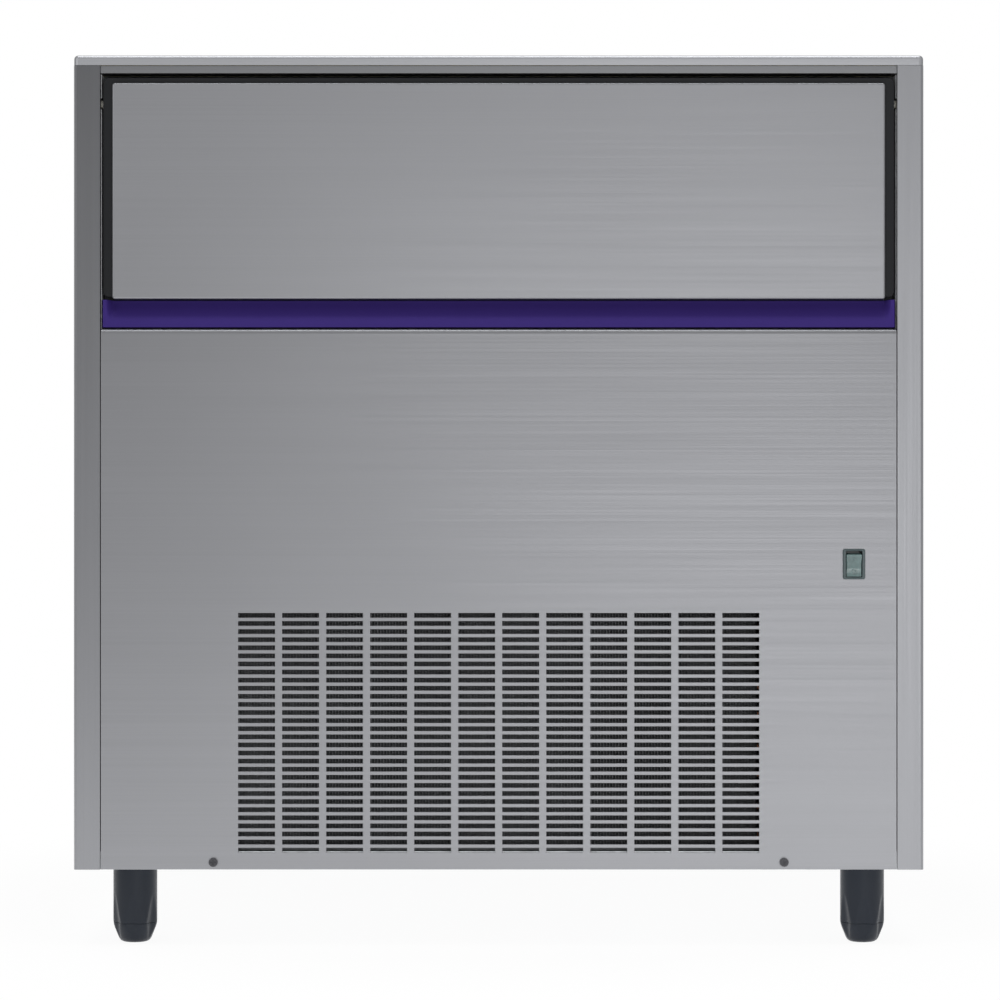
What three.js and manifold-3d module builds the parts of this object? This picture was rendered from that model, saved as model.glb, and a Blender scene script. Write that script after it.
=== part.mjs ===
// An undercounter ice maker: a folded steel cabinet on four adjustable legs, with an insulated ice bin
// behind an up-and-in door, a spray type ice maker in the top of the bin, and an air cooled
// refrigeration set behind the slotted lower panel.
// Millimetres. X is to the right, Y runs back from the front, and Z is up from the floor.
// Inside the machine group, y is the distance behind the cabinet's front face.
import * as THREE from "three";
import { mergeGeometries, mergeVertices } from "three/addons/utils/BufferGeometryUtils.js";
import Module from "manifold-3d";

const wasm = await Module();
wasm.setup();

// Whole machine
const cabinetWidth = 840;
const cabinetDepth = 740;
const overallHeight = 880;
const legHeight = 75;
const sheet = 1.5;
const seat = 0.3;
const overrun = 6;
const weldDistance = 0.001;

// Side panels
const stileWidth = 26;
const stileReturn = 10;
const stileCorner = 3;
const stileCornerShare = 0.3;
const rearFlange = 14;

// Top cover, rail and lid insulation
const coverLip = 10;
const coverRounding = 6;
const coverHem = 3;
const railHeight = 7.4;
const railFlange = 25.5;
const railSetback = 2.5;

// Base pan and back panel
const panFlange = 18;
const ventCount = 7;
const ventRows = 2;
const ventWidth = 14;
const ventHeight = 70;
const ventPitch = 30;
const ventRowPitch = 84;
const ventCentreX = -30;
const ventRise = 45;

// Lower front panel and its slotted grille
const panelSeam = 2.5;
const panelFold = 20;
const panelRoll = 4;
const grilleColumns = 12;
const grilleRows = 30;
const slotWidth = 36.2;
const slotHeight = 4.6;
const slotPitchX = 43.5;
const slotPitchZ = 8;
const grilleRise = 17;
const screwX = 282;
const screwHeadRadius = 4.5;
const screwHeadHeight = 2.2;
const screwShankRadius = 2;
const screwLength = 9;
const screwClearance = 0.4;
const screwSlot = 1.1;
const screwSlotReach = 2.7;

// Rocker switch
const switchEdgeSpace = 40.5;
const switchDrop = 232;
const bezelWidth = 22;
const bezelHeight = 30;
const bezelThickness = 2;
const bezelWall = 2.2;
const switchBodyInset = 1.2;
const switchBodyDepth = 28;
const switchWellDepth = 13;
const rockerPivotDepth = 6;
const rockerFace = 9;
const rockerValley = 6.6;
const rockerEndGap = 1.8;
const rockerShoulder = 2;
const rockerHeel = 4;
const rockerHeelHalf = 5;
const rockerTilt = THREE.MathUtils.degToRad(10);

// Adjustable legs
const legInset = 57;
const legSetback = 36;
const sleeveRadius = 21.8;
const sleeveChamfer = 1.5;
const footReach = 19;
const footRadius = 17;
const footFluteDepth = 1.4;
const footFlutes = 6;
const footRounding = 4;
const spindleRadius = 6;
const spindleLength = 42;
const sleeveBoreDepth = 52;

// Door
const doorPivotDrop = 25;
const doorPivotDepth = 17;
const doorThickness = 34;
const doorHeight = 247;
const doorTopGap = 4.3;
const doorPanelGap = 2;
const doorSideGap = 2.5;
const doorSkinInset = 8;
const doorSkinTopInset = 3;
const doorSkinReturn = 6.7;
const doorCorner = 5;
const doorLinerDepth = 4;
const doorLinerMargin = 8;
const linerPadHeight = 2.4;
const linerPadMargin = 26;
const gripHeight = 31;
const gripDepth = 15;
const gripWall = 3;
const gripSteps = 6;
const sealHeight = 12;
const sealDepth = 6.2;
const sealLift = 4;
const doorTravel = 195;

// Door runners and guide rails
const pinRadius = 4;
const pinBoreDepth = 12;
const pinClearance = 0.3;
const pinSlotClearance = 1.5;
const runnerWidth = 15;
const runnerLength = 18;
const runnerHeight = 16;
const guideFront = 4;
const guideEndSpace = 15;

// Storage bin
const sealRunningGap = 0.5;
const apronSpace = 4;
const binFrontWall = 35;
const binSideGap = 0.5;
const linerSheet = 2;
const machineHeight = 275;
const binFloorFoam = 35;
const binRearFoam = 36;
const sillRise = 19;
const sillTurnDown = 30;

// Ice making group in the top of the bin
const tankLeftSpace = 93.5;
const tankRightSpace = 193.5;
const tankDepth = 277.8;
const tankHeight = 150;
const tankHeadroom = 72;
const tankWall = 3;
const tankWindowRise = 50;
const tankWindowDrop = 18;
const earLength = 13;
const earHeight = 12;
const evaporatorMargin = 12;
const plateThickness = 2;
const cupColumns = 5;
const cupRows = 4;
const cupSideSpace = 53;
const cupPitchY = 60;
const cupRadius = 21;
const cupTopRadius = 17;
const cupHeight = 28;
const cupWall = 1.5;
const coilRadius = 4;
const slideSlope = THREE.MathUtils.degToRad(16);
const slideThickness = 3;
const slideBars = 9;
const slideBarShare = 0.42;
const slideRearDrop = 28;
const slideBorder = 10;
const sprayRadius = 9;
const sprayRise = 24;
const spraySetback = 140;
const nozzleRadius = 5;
const nozzleTip = 2.5;
const nozzleHeight = 14;
const rodRadius = 3;
const rodDrop = 14;
const rodInset = 7;
const flapCount = 4;
const flapThickness = 2.4;
const flapBarrel = 6;
const flapGap = 2;
const flapBottomRise = 52;
const pumpRadius = 30;
const pumpVoluteRadius = 36;
const pumpVoluteHeight = 24;
const pumpTopDrop = 45;
const pumpNeckRadius = 18;
const pumpCapRadius = 21;
const hoseRadius = 7;

// Refrigeration set in the base
const condenserFront = 26;
const condenserDepth = 40;
const condenserHalf = 263;
const condenserHeadroom = 15;
const condenserFins = 9;
const condenserCoreShare = 0.5;
const condenserFinShare = 0.35;
const condenserPlate = 3;
const returnBendRadius = 14;
const condenserTubeRadius = 4.5;
const condenserPasses = 4;
const shroudDepth = 30;
const shroudSheet = 2;
const fanEdgeSpace = 22;
const fanRunningGap = 8;
const fanHubRadius = 32;
const fanHubLength = 24;
const fanBlades = 5;
const bladeThickness = 2;
const bladeRootRadius = 27;
const bladeRootChord = 42;
const bladeTipChord = 82;
const bladeRootPitch = THREE.MathUtils.degToRad(38);
const bladeTipPitch = THREE.MathUtils.degToRad(20);
const bladeCamber = 5;
const bladeSpanSteps = 2;
const bladeChordSteps = 3;
const motorRadius = 38;
const motorLength = 62;
const motorShaftRadius = 4;
const motorShaftLength = 16;
const motorArmWidth = 16;
const motorArmThickness = 3;
const compressorSideSpace = 223.2;
const compressorRearSpace = 270;
const compressorRadius = 80;
const compressorHeight = 190;
const compressorRounding = 34;
const compressorSeam = 5;
const compressorDomeShare = 0.3;
const compressorFoot = 150;
const compressorGrommet = 9;
const grommetRadius = 11;
const stubLength = 14;
const stubRadius = 4.5;
const dischargeRise = 115;
const suctionRise = 150;
const terminalWidth = 62;
const terminalHeight = 66;
const terminalDepth = 34;
const drierRadius = 13;
const drierLength = 110;
const drierNeck = 14;
const capillaryRadius = 2;
const valveSideSpace = 82.2;
const valveRearSpace = 94;
const valveRise = 121;
const valveBlock = 24;
const valveCoilRadius = 15;
const valveCoilHeight = 32;
const controlSideSpace = 18.2;
const controlWidth = 110;
const controlFront = 120;
const controlDepth = 180;
const controlHeight = 175;
const controlLid = 24;
const controlLip = 3;

// Services at the back
const drainX = 220;
const drainRise = 17;
const drainRearSpace = 140;
const drainRadius = 10;
const drainBore = 7;
const drainSlots = 3;
const drainSlotWidth = 3.2;
const drainReach = 30;
const drainBendShare = 0.3;
const inletX = 310;
const inletRise = 57;
const inletRadius = 13;
const inletReach = 24;
const inletBore = 7;
const inletNutRadius = 19.5;
const inletBodyHalf = 17;
const inletCoilRadius = 15.6;
const inletCoilHeight = 36;
const glandX = -300;
const glandRise = 17;
const glandReach = 22;
const glandNutRadius = 14;
const glandShankRadius = 9.8;
const glandDomeRadius = 7;
const glandBore = 4.5;
const chaseLeftReach = 52;
const chaseWidth = 56;
const chaseSkin = 2;
const chaseTopDrop = 12;
const hotGasReach = 37;
const suctionReach = 9;
const capillaryReach = 24;
const suctionRadius = 5;
const pipeHoleClearance = 3;

// Places worked out from the sizes above
const halfWidth = cabinetWidth / 2;
const innerHalf = halfWidth - sheet - seat;
const stileEdge = halfWidth - stileWidth;
const coverUnderside = overallHeight - coverLip;
const wallTop = coverUnderside - seat;
const openingTop = wallTop - railHeight;
const panelHalf = stileEdge - panelSeam;
const insideRear = cabinetDepth - sheet - seat;
const flangeFront = insideRear - sheet;
const screwZ = legHeight + panFlange / 2 - sheet;
const panFloor = legHeight + sheet;
const standZ = panFloor + seat;
const doorTop = openingTop - doorTopGap;
const doorBottom = doorTop - doorHeight;
const panelTop = doorBottom - doorPanelGap;
const grilleBottom = legHeight + grilleRise;
const ventBottom = legHeight + ventRise;
const switchX = panelHalf - switchEdgeSpace;
const switchZ = panelTop - switchDrop;
const rockerHalfHeight = bezelHeight / 2 - bezelWall - rockerEndGap;
const doorPivotZ = doorTop - doorPivotDrop;
const doorFrameHalf = stileEdge - doorSideGap;
const doorSkinHalf = doorFrameHalf - doorSkinInset;
const doorSkinTop = doorTop - doorSkinTopInset;
const doorSkinBottom = doorBottom + gripHeight;
const frontReach =
  rockerFace * Math.cos(rockerTilt) + rockerHalfHeight * Math.sin(rockerTilt) - rockerPivotDepth;
const frontFaceY = frontReach - (frontReach + cabinetDepth + drainReach) / 2;
const foamTop = openingTop - seat;
const sillDepth = doorThickness + seat + sealDepth + sealRunningGap;
const binFront = sillDepth + linerSheet + apronSpace;
const binBottom = legHeight + machineHeight;
const sillTop = doorBottom + sillRise;
const linerHalf = stileEdge - binSideGap;
const linerOuter = linerHalf + linerSheet;
const foamInner = linerOuter + seat;
const linerFront = stileReturn + seat;
const linerWallY = binFront + binFrontWall + seat;
const linerFloor = binBottom + binFloorFoam + seat;
const foamRear = flangeFront - seat;
const linerRear = foamRear - binRearFoam - seat;
const chaseDepth = binRearFoam - chaseSkin;
const tankLeft = tankLeftSpace - linerHalf;
const tankRight = linerHalf - tankRightSpace;
const tankRear = linerRear - linerSheet - seat;
const tankFront = tankRear - tankDepth;
const sprayY = tankFront + spraySetback;
const tankTop = foamTop - tankHeadroom;
const tankBottom = tankTop - tankHeight;
const tankWindowBottom = tankBottom + tankWindowRise;
const tankWindowTop = tankTop - tankWindowDrop;
const slideRearZ = tankTop - slideRearDrop;
const sprayZ = tankBottom + sprayRise;
const rodZ = tankTop - rodDrop;
const flapBottom = tankBottom + flapBottomRise;
const pumpTop = tankTop - pumpTopDrop;
const chaseTop = foamTop - chaseTopDrop;
const chaseLeft = tankLeft - chaseLeftReach;
const chaseRight = chaseLeft + chaseWidth;
const hotGasX = tankLeft - hotGasReach;
const suctionX = tankLeft - suctionReach;
const capillaryX = tankLeft - capillaryReach;
const guideInner = linerOuter + 3 * seat;
const guideRear = doorPivotDepth + doorTravel + runnerLength / 2 + guideEndSpace;
const guideHalfHeight = runnerHeight / 2 + seat + sheet;
const cupMidX = (tankLeft + tankRight) / 2;
const cupPitchX = (tankRight - tankLeft - 2 * (cupSideSpace + cupRadius)) / (cupColumns - 1);
const cupFirstY = (tankFront + tankRear - (cupRows - 1) * cupPitchY) / 2;
const plateZ = tankTop + seat;
const cupTopZ = plateZ + plateThickness + cupHeight;
const coilZ = cupTopZ + seat + coilRadius;
const shroudFront = condenserFront + condenserDepth + seat;
const shroudRear = shroudFront + shroudDepth;
const condenserTop = binBottom - condenserHeadroom;
const condenserFinBottom = grilleBottom;
const fanZ = (legHeight + condenserTop) / 2;
const fanRadius = (condenserTop - legHeight) / 2 - fanEdgeSpace;
const throatRadius = fanRadius + fanRunningGap;
const compressorX = compressorSideSpace - innerHalf;
const dischargeZ = legHeight + dischargeRise;
const suctionZ = legHeight + suctionRise;
const compressorY = cabinetDepth - compressorRearSpace;
const valveX = valveSideSpace - innerHalf;
const valveY = cabinetDepth - valveRearSpace;
const valveZ = legHeight + valveRise;
const controlX = innerHalf - controlSideSpace - controlWidth / 2;
const drainY = cabinetDepth - drainRearSpace;
const drainZ = legHeight + panFlange + drainRise;
const inletZ = legHeight + panFlange + inletRise;
const glandZ = legHeight + panFlange + glandRise;

// Materials
function finish(color, roughness, metalness) {
  return new THREE.MeshStandardMaterial({ color, roughness, metalness });
}
const brushedSteel = () => finish(0x9a9ca2, 0.38, 0.9);
const galvanisedSteel = () => finish(0x9ea2a4, 0.5, 0.8);
const blackPlastic = () => finish(0x1c1e21, 0.5, 0);
const blackRubber = () => finish(0x17181a, 0.8, 0);
const purplePlastic = () => finish(0x302665, 0.4, 0);
const whitePlastic = () => finish(0xe6e8ea, 0.4, 0);
const acetal = () => finish(0xd8d6cd, 0.45, 0);
const foamedInsulation = () => finish(0xd9c98f, 0.9, 0);
const copper = () => finish(0xb66a42, 0.35, 1);
const aluminium = () => finish(0xb9bcc0, 0.45, 0.9);
const brass = () => finish(0xb89a55, 0.35, 1);
const blackEnamel = () => finish(0x141516, 0.35, 0.2);
const greenLens = () => finish(0x7fa39c, 0.25, 0);
const darkFrame = () => finish(0x3f5256, 0.35, 0);
const clearPlastic = () => finish(0xcfd8dc, 0.2, 0);

// Shapes
function block(x0, x1, y0, y1, z0, z1) {
  const geometry = new THREE.BoxGeometry(Math.abs(x1 - x0), Math.abs(y1 - y0), Math.abs(z1 - z0));
  return geometry.translate((x0 + x1) / 2, (y0 + y1) / 2, (z0 + z1) / 2);
}

function outline(points) {
  return new THREE.Shape(points.map(([u, v]) => new THREE.Vector2(u, v)));
}

function roundedOutline(u0, u1, v0, v1, radius) {
  const shape = new THREE.Shape();
  shape.absarc(u1 - radius, v0 + radius, radius, -Math.PI / 2, 0);
  shape.absarc(u1 - radius, v1 - radius, radius, 0, Math.PI / 2);
  shape.absarc(u0 + radius, v1 - radius, radius, Math.PI / 2, Math.PI);
  shape.absarc(u0 + radius, v0 + radius, radius, Math.PI, 1.5 * Math.PI);
  return shape;
}

// The same outline with its curves as chords and no point given twice.
function faceted(shape, curveSegments) {
  const points = [];
  for (const point of shape.getPoints(curveSegments)) {
    const last = points[points.length - 1];
    if (!last || last.distanceTo(point) > weldDistance) points.push(point);
  }
  if (points[0].distanceTo(points[points.length - 1]) < weldDistance) points.pop();
  const clean = new THREE.Shape(points);
  clean.holes = shape.holes;
  return clean;
}

function prism(shape, depth, curveSegments = 2) {
  return new THREE.ExtrudeGeometry(faceted(shape, curveSegments), { depth, bevelEnabled: false });
}

// A plan outline (x, y) raised from z0 to z1.
function raised(shape, z0, z1, curveSegments) {
  return prism(shape, z1 - z0, curveSegments).translate(0, 0, z0);
}

// A front outline (x, z) taken back from y0 to y1.
function deepened(shape, y0, y1, curveSegments) {
  return prism(shape, y1 - y0, curveSegments).rotateX(Math.PI / 2).translate(0, y1, 0);
}

// A side outline (y, z) taken across from x0 to x1.
function widened(shape, x0, x1, curveSegments) {
  const turn = new THREE.Matrix4().makeBasis(
    new THREE.Vector3(0, 1, 0),
    new THREE.Vector3(0, 0, 1),
    new THREE.Vector3(1, 0, 0),
  );
  const geometry = prism(shape, Math.abs(x1 - x0), curveSegments).applyMatrix4(turn);
  return geometry.translate(Math.min(x0, x1), 0, 0);
}

function rodAlongX(radius, x0, x1, y, z, sides = 12) {
  const geometry = new THREE.CylinderGeometry(radius, radius, Math.abs(x1 - x0), sides);
  return geometry.rotateZ(Math.PI / 2).translate((x0 + x1) / 2, y, z);
}

function rodAlongY(radius, x, y0, y1, z, sides = 12) {
  const geometry = new THREE.CylinderGeometry(radius, radius, Math.abs(y1 - y0), sides);
  return geometry.translate(x, (y0 + y1) / 2, z);
}

function rodAlongZ(radius, x, y, z0, z1, sides = 12) {
  const geometry = new THREE.CylinderGeometry(radius, radius, Math.abs(z1 - z0), sides);
  return geometry.rotateX(Math.PI / 2).translate(x, y, (z0 + z1) / 2);
}

// A profile of [radius, height] points turned about the Z axis.
function turned(profile, sides = 24) {
  const points = profile.map(([r, h]) => new THREE.Vector2(r, h));
  return new THREE.LatheGeometry(points, sides).rotateX(Math.PI / 2);
}

// A smooth curve that is stepped evenly from each of its points to the next, so it meets them all.
class Route extends THREE.CatmullRomCurve3 {
  getUtoTmapping(u) {
    return u;
  }
}

// A round tube that follows a route through the points, with some steps from each point to the next.
function tube(points, radius, stepsBetween, sides = 6) {
  const vectors = points.map(([x, y, z]) => new THREE.Vector3(x, y, z));
  const route = new Route(vectors, false, "chordal");
  const steps = stepsBetween * (points.length - 1);
  const circle = new THREE.Shape().absarc(0, 0, radius, 0, 2 * Math.PI);
  const options = { steps, bevelEnabled: false, extrudePath: route };
  return new THREE.ExtrudeGeometry(faceted(circle, sides / 2), options);
}

// Joining and cutting
function solidOf(geometry) {
  const bare = geometry.index ? geometry.toNonIndexed() : geometry.clone();
  bare.deleteAttribute("normal");
  bare.deleteAttribute("uv");
  const merged = mergeVertices(bare, weldDistance);
  const vertProperties = merged.attributes.position.array;
  const triVerts = new Uint32Array(merged.index.array);
  return new wasm.Manifold(new wasm.Mesh({ numProp: 3, vertProperties, triVerts }));
}

function geometryOf(solid) {
  const mesh = solid.getMesh();
  const geometry = new THREE.BufferGeometry();
  geometry.setAttribute("position", new THREE.BufferAttribute(mesh.vertProperties, 3));
  geometry.setIndex(new THREE.BufferAttribute(mesh.triVerts, 1));
  const faceted = geometry.toNonIndexed();
  faceted.computeVertexNormals();
  return faceted;
}

function join(...geometries) {
  const solids = geometries.map(solidOf);
  return geometryOf(solids.reduce((whole, next) => whole.add(next)));
}

function carve(geometry, ...cutters) {
  const tool = cutters.map(solidOf).reduce((whole, next) => whole.add(next));
  return geometryOf(solidOf(geometry).subtract(tool));
}

// The scene graph
const root = new THREE.Group();
const machine = new THREE.Group();
machine.position.y = frontFaceY;
root.add(machine);

function piece(parent, name, geometry, material) {
  const mesh = new THREE.Mesh(geometry, material);
  mesh.name = name;
  parent.add(mesh);
  return mesh;
}

function groupAt(parent, x, y, z) {
  const group = new THREE.Group();
  group.position.set(x, y, z);
  parent.add(group);
  return group;
}

// Cabinet shell
function sidePanel(side) {
  const u = (inward) => side * (halfWidth - inward);
  const shape = new THREE.Shape();
  const points = [
    [u(0), stileCorner],
    [u(stileCorner * stileCornerShare), stileCorner * stileCornerShare],
    [u(stileCorner), 0],
    [u(stileWidth), 0],
    [u(stileWidth), stileReturn],
    [u(stileWidth - sheet), stileReturn],
    [u(stileWidth - sheet), sheet],
    [u(stileCorner), sheet],
    [u(sheet), stileCorner],
    [u(sheet), flangeFront],
    [u(rearFlange), flangeFront],
    [u(rearFlange), flangeFront + sheet],
    [u(sheet), flangeFront + sheet],
    [u(sheet), cabinetDepth],
    [u(0), cabinetDepth],
  ];
  shape.setFromPoints(points.map(([x, y]) => new THREE.Vector2(x, y)));
  return raised(shape, legHeight, wallTop);
}

function basePan() {
  const inside = innerHalf - sheet;
  const front = sheet + seat;
  const rear = flangeFront - seat;
  const notchX = stileEdge - seat;
  const notchY = stileReturn + seat;
  const top = legHeight + panFlange;
  const pan = block(-innerHalf, innerHalf, front, rear, legHeight, top);
  const well = block(-inside, inside, front + sheet, rear - sheet, panFloor, top + overrun);
  const cutters = [well];
  for (const side of [-1, 1]) {
    const outer = side * (innerHalf + overrun);
    cutters.push(block(side * notchX, outer, 0, notchY, legHeight - overrun, top + overrun));
    const hole = screwShankRadius + screwClearance;
    cutters.push(rodAlongY(hole, side * screwX, 0, front + overrun, screwZ, 8));
  }
  return carve(pan, ...cutters);
}

function backPanel() {
  const half = innerHalf;
  const front = insideRear + seat;
  const panel = block(-half, half, front, cabinetDepth, legHeight + seat, wallTop);
  const cutters = [];
  for (let row = 0; row < ventRows; row += 1) {
    for (let column = 0; column < ventCount; column += 1) {
      const x = ventCentreX + (column - (ventCount - 1) / 2) * ventPitch;
      const z = ventBottom + row * ventRowPitch;
      const rear = cabinetDepth + overrun;
      cutters.push(block(x - ventWidth / 2, x + ventWidth / 2, front - overrun, rear, z, z + ventHeight));
    }
  }
  const rear = cabinetDepth + overrun;
  cutters.push(rodAlongY(drainRadius + seat, drainX, front - overrun, rear, drainZ, 12));
  cutters.push(rodAlongY(inletRadius + seat, inletX, front - overrun, rear, inletZ, 12));
  cutters.push(rodAlongY(glandShankRadius + seat, glandX, front - overrun, rear, glandZ, 12));
  return carve(panel, ...cutters);
}

function topCover() {
  const r = coverRounding;
  const shape = roundedOutline(-halfWidth + r, halfWidth - r, r, cabinetDepth - r, r / 2);
  const options = {
    depth: coverLip,
    bevelThickness: r,
    bevelSize: r,
    bevelSegments: 2,
  };
  const pressed = new THREE.ExtrudeGeometry(faceted(shape, 1), options);
  pressed.translate(0, 0, overallHeight - coverLip - r);
  const below = block(-cabinetWidth, cabinetWidth, -overrun, cabinetDepth + overrun, 0, coverUnderside);
  const inside = halfWidth - coverHem;
  const top = overallHeight - sheet;
  const hollow = block(-inside, inside, coverHem, cabinetDepth - coverHem, coverUnderside - overrun, top);
  return carve(pressed, below, hollow);
}

function topRail() {
  const y0 = railSetback;
  const shape = outline([
    [y0, openingTop],
    [y0 + railFlange, openingTop],
    [y0 + railFlange, openingTop + sheet],
    [y0 + sheet, openingTop + sheet],
    [y0 + sheet, wallTop],
    [y0, wallTop],
  ]);
  const half = stileEdge - seat;
  return widened(shape, -half, half);
}

function topInsulation() {
  const half = halfWidth - coverHem - seat;
  const front = railSetback + railFlange + 2 * seat;
  const rear = cabinetDepth - coverHem - seat;
  const under = block(-half + sheet, half - sheet, front, rear - sheet, foamTop + seat, wallTop);
  const upper = block(-half, half, coverHem + seat, rear, coverUnderside, overallHeight - sheet - seat);
  const neck = block(-half + sheet, half - sheet, front, rear - sheet, wallTop - seat, coverUnderside + seat);
  return join(under, neck, upper);
}

// Lower front panel
function grilleSlots() {
  const slots = [];
  for (let row = 0; row < grilleRows; row += 1) {
    for (let column = 0; column < grilleColumns; column += 1) {
      const x = (column - (grilleColumns - 1) / 2) * slotPitchX;
      const z = grilleBottom + row * slotPitchZ;
      const half = slotWidth / 2;
      slots.push(block(x - half, x + half, -overrun, sheet + overrun, z, z + slotHeight));
    }
  }
  return mergeGeometries(slots);
}

function lowerFrontPanel() {
  const faceTop = panelTop - panelRoll;
  const face = block(-panelHalf, panelHalf, 0, sheet, legHeight + seat, faceTop);
  const roll = new THREE.Shape();
  roll.moveTo(0, panelTop - panelRoll);
  roll.absarc(panelRoll, panelTop - panelRoll, panelRoll, Math.PI, Math.PI / 2, true);
  roll.lineTo(panelFold, panelTop);
  roll.lineTo(panelFold, panelTop - panelRoll * 2);
  roll.lineTo(panelFold - sheet, panelTop - panelRoll * 2);
  roll.lineTo(panelFold - sheet, panelTop - sheet);
  roll.absarc(panelRoll, panelTop - panelRoll, panelRoll - sheet, Math.PI / 2, Math.PI, false);
  const top = widened(roll, -panelHalf, panelHalf, 2);
  const sideBottom = legHeight + panFlange + 2 * seat;
  const sideTop = panelTop - panelRoll;
  const inside = panelHalf - sheet;
  const left = block(-panelHalf, -inside, 0, panelFold - sheet - seat, sideBottom, sideTop);
  const right = block(inside, panelHalf, 0, panelFold - sheet - seat, sideBottom, sideTop);
  const hole = screwShankRadius + screwClearance;
  const halfWell = bezelWidth / 2 - switchBodyInset + seat;
  const halfHigh = bezelHeight / 2 - switchBodyInset + seat;
  const window = block(
    switchX - halfWell,
    switchX + halfWell,
    -overrun,
    overrun,
    switchZ - halfHigh,
    switchZ + halfHigh,
  );
  const holes = [-1, 1].map((side) => rodAlongY(hole, side * screwX, -overrun, overrun, screwZ, 8));
  return carve(join(face, top, left, right), grilleSlots(), window, ...holes);
}

function panelScrew() {
  const head = rodAlongY(screwHeadRadius, 0, -seat - screwHeadHeight, -seat, 0, 12);
  const shank = rodAlongY(screwShankRadius, 0, -seat - screwHeadHeight / 2, screwLength, 0, 8);
  const reach = screwSlotReach;
  const front = -seat - screwHeadHeight - overrun;
  const depth = -seat - screwHeadHeight / 2;
  const half = screwSlot / 2;
  const across = block(-reach, reach, front, depth, -half, half);
  const upright = block(-half, half, front, depth, -reach, reach);
  return carve(join(head, shank), across, upright);
}

// Rocker switch
function switchHousing() {
  const bodyX = bezelWidth / 2 - switchBodyInset;
  const bodyZ = bezelHeight / 2 - switchBodyInset;
  const wellX = bezelWidth / 2 - bezelWall;
  const wellZ = bezelHeight / 2 - bezelWall;
  const bezelOutline = roundedOutline(
    -bezelWidth / 2,
    bezelWidth / 2,
    -bezelHeight / 2,
    bezelHeight / 2,
    bezelWall / 2,
  );
  const bezel = deepened(bezelOutline, -bezelThickness - seat, -seat, 1);
  const body = block(-bodyX, bodyX, -bezelThickness, switchBodyDepth, -bodyZ, bodyZ);
  const well = block(-wellX, wellX, -overrun, switchWellDepth, -wellZ, wellZ);
  return carve(join(bezel, body), well);
}

function switchRocker() {
  const half = bezelWidth / 2 - bezelWall - seat;
  const profile = outline([
    [-rockerFace, rockerHalfHeight],
    [-rockerValley, 0],
    [-rockerFace, -rockerHalfHeight],
    [-rockerShoulder, -rockerHalfHeight],
    [rockerHeel, -rockerHeelHalf],
    [rockerHeel, rockerHeelHalf],
    [-rockerShoulder, rockerHalfHeight],
  ]);
  return widened(profile, -half, half);
}

// Legs
function legSleeve() {
  const bore = spindleRadius + seat;
  const base = footReach + seat;
  const top = legHeight - seat;
  return turned([
    [0, base + sleeveBoreDepth],
    [bore, base + sleeveBoreDepth],
    [bore, base],
    [sleeveRadius - sleeveChamfer, base],
    [sleeveRadius, base + sleeveChamfer],
    [sleeveRadius, top],
    [0, top],
  ].map(([r, h]) => [r, h - legHeight]), 14);
}

function adjustableFoot() {
  const shape = new THREE.Shape();
  const steps = footFlutes * 3;
  const points = [];
  for (let i = 0; i < steps; i += 1) {
    const angle = (2 * Math.PI * i) / steps;
    const wave = Math.cos(footFlutes * angle);
    const radius = footRadius - footRounding - (footFluteDepth * (1 - wave)) / 2;
    points.push(new THREE.Vector2(radius * Math.cos(angle), radius * Math.sin(angle)));
  }
  shape.setFromPoints(points);
  const options = {
    depth: footReach - 2 * footRounding,
    bevelThickness: footRounding,
    bevelSize: footRounding,
    bevelSegments: 1,
  };
  const base = new THREE.ExtrudeGeometry(shape, options).translate(0, 0, footRounding);
  const spindle = rodAlongZ(spindleRadius, 0, 0, footReach - footRounding, footReach + spindleLength, 8);
  return join(base, spindle);
}

// Door, in its pivot's own frame: y runs back from the pivot and z up from it
const doorY = (depth) => depth - doorPivotDepth;
const doorZ = (height) => height - doorPivotZ;

function doorSkin() {
  const h = doorSkinHalf;
  const front = doorY(0);
  const rear = doorY(doorSkinReturn);
  const outer = roundedOutline(-h, h, doorZ(doorSkinBottom), doorZ(doorSkinTop), doorCorner / 2);
  const tray = deepened(outer, front, rear);
  const bottom = doorZ(doorSkinBottom) + sheet;
  const top = doorZ(doorSkinTop) - sheet;
  return carve(tray, block(-h + sheet, h - sheet, front + sheet, rear + overrun, bottom, top));
}

function doorFrame() {
  const h = doorFrameHalf;
  const gripTop = doorZ(doorSkinBottom) - seat;
  const front = doorY(doorSkinReturn) + seat;
  const rear = doorY(doorThickness - doorLinerDepth) - seat;
  const plate = deepened(roundedOutline(-h, h, gripTop, doorZ(doorTop), doorCorner), front, rear);
  const coreHalf = doorSkinHalf - sheet - seat;
  const coreBottom = doorZ(doorSkinBottom) + sheet + seat;
  const coreTop = doorZ(doorSkinTop) - sheet - seat;
  const core = block(-coreHalf, coreHalf, doorY(sheet) + seat, front + seat, coreBottom, coreTop);
  const heelFront = doorY(gripDepth + gripWall) + seat;
  const heelTop = gripTop + doorCorner;
  const linerBottom = doorZ(doorBottom) + sealLift + sealHeight;
  const heelRear = doorY(doorThickness);
  const heel = block(-h, h, heelFront, heelRear, doorZ(doorBottom), linerBottom);
  const bridge = block(-h, h, heelFront, rear, linerBottom - doorCorner, heelTop);
  const bore = pinRadius + pinClearance;
  const inner = h - pinBoreDepth;
  const bores = [-1, 1].map((side) => rodAlongX(bore, side * inner, side * (h + overrun), 0, 0, 10));
  return carve(join(plate, core, heel, bridge), ...bores);
}

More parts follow.
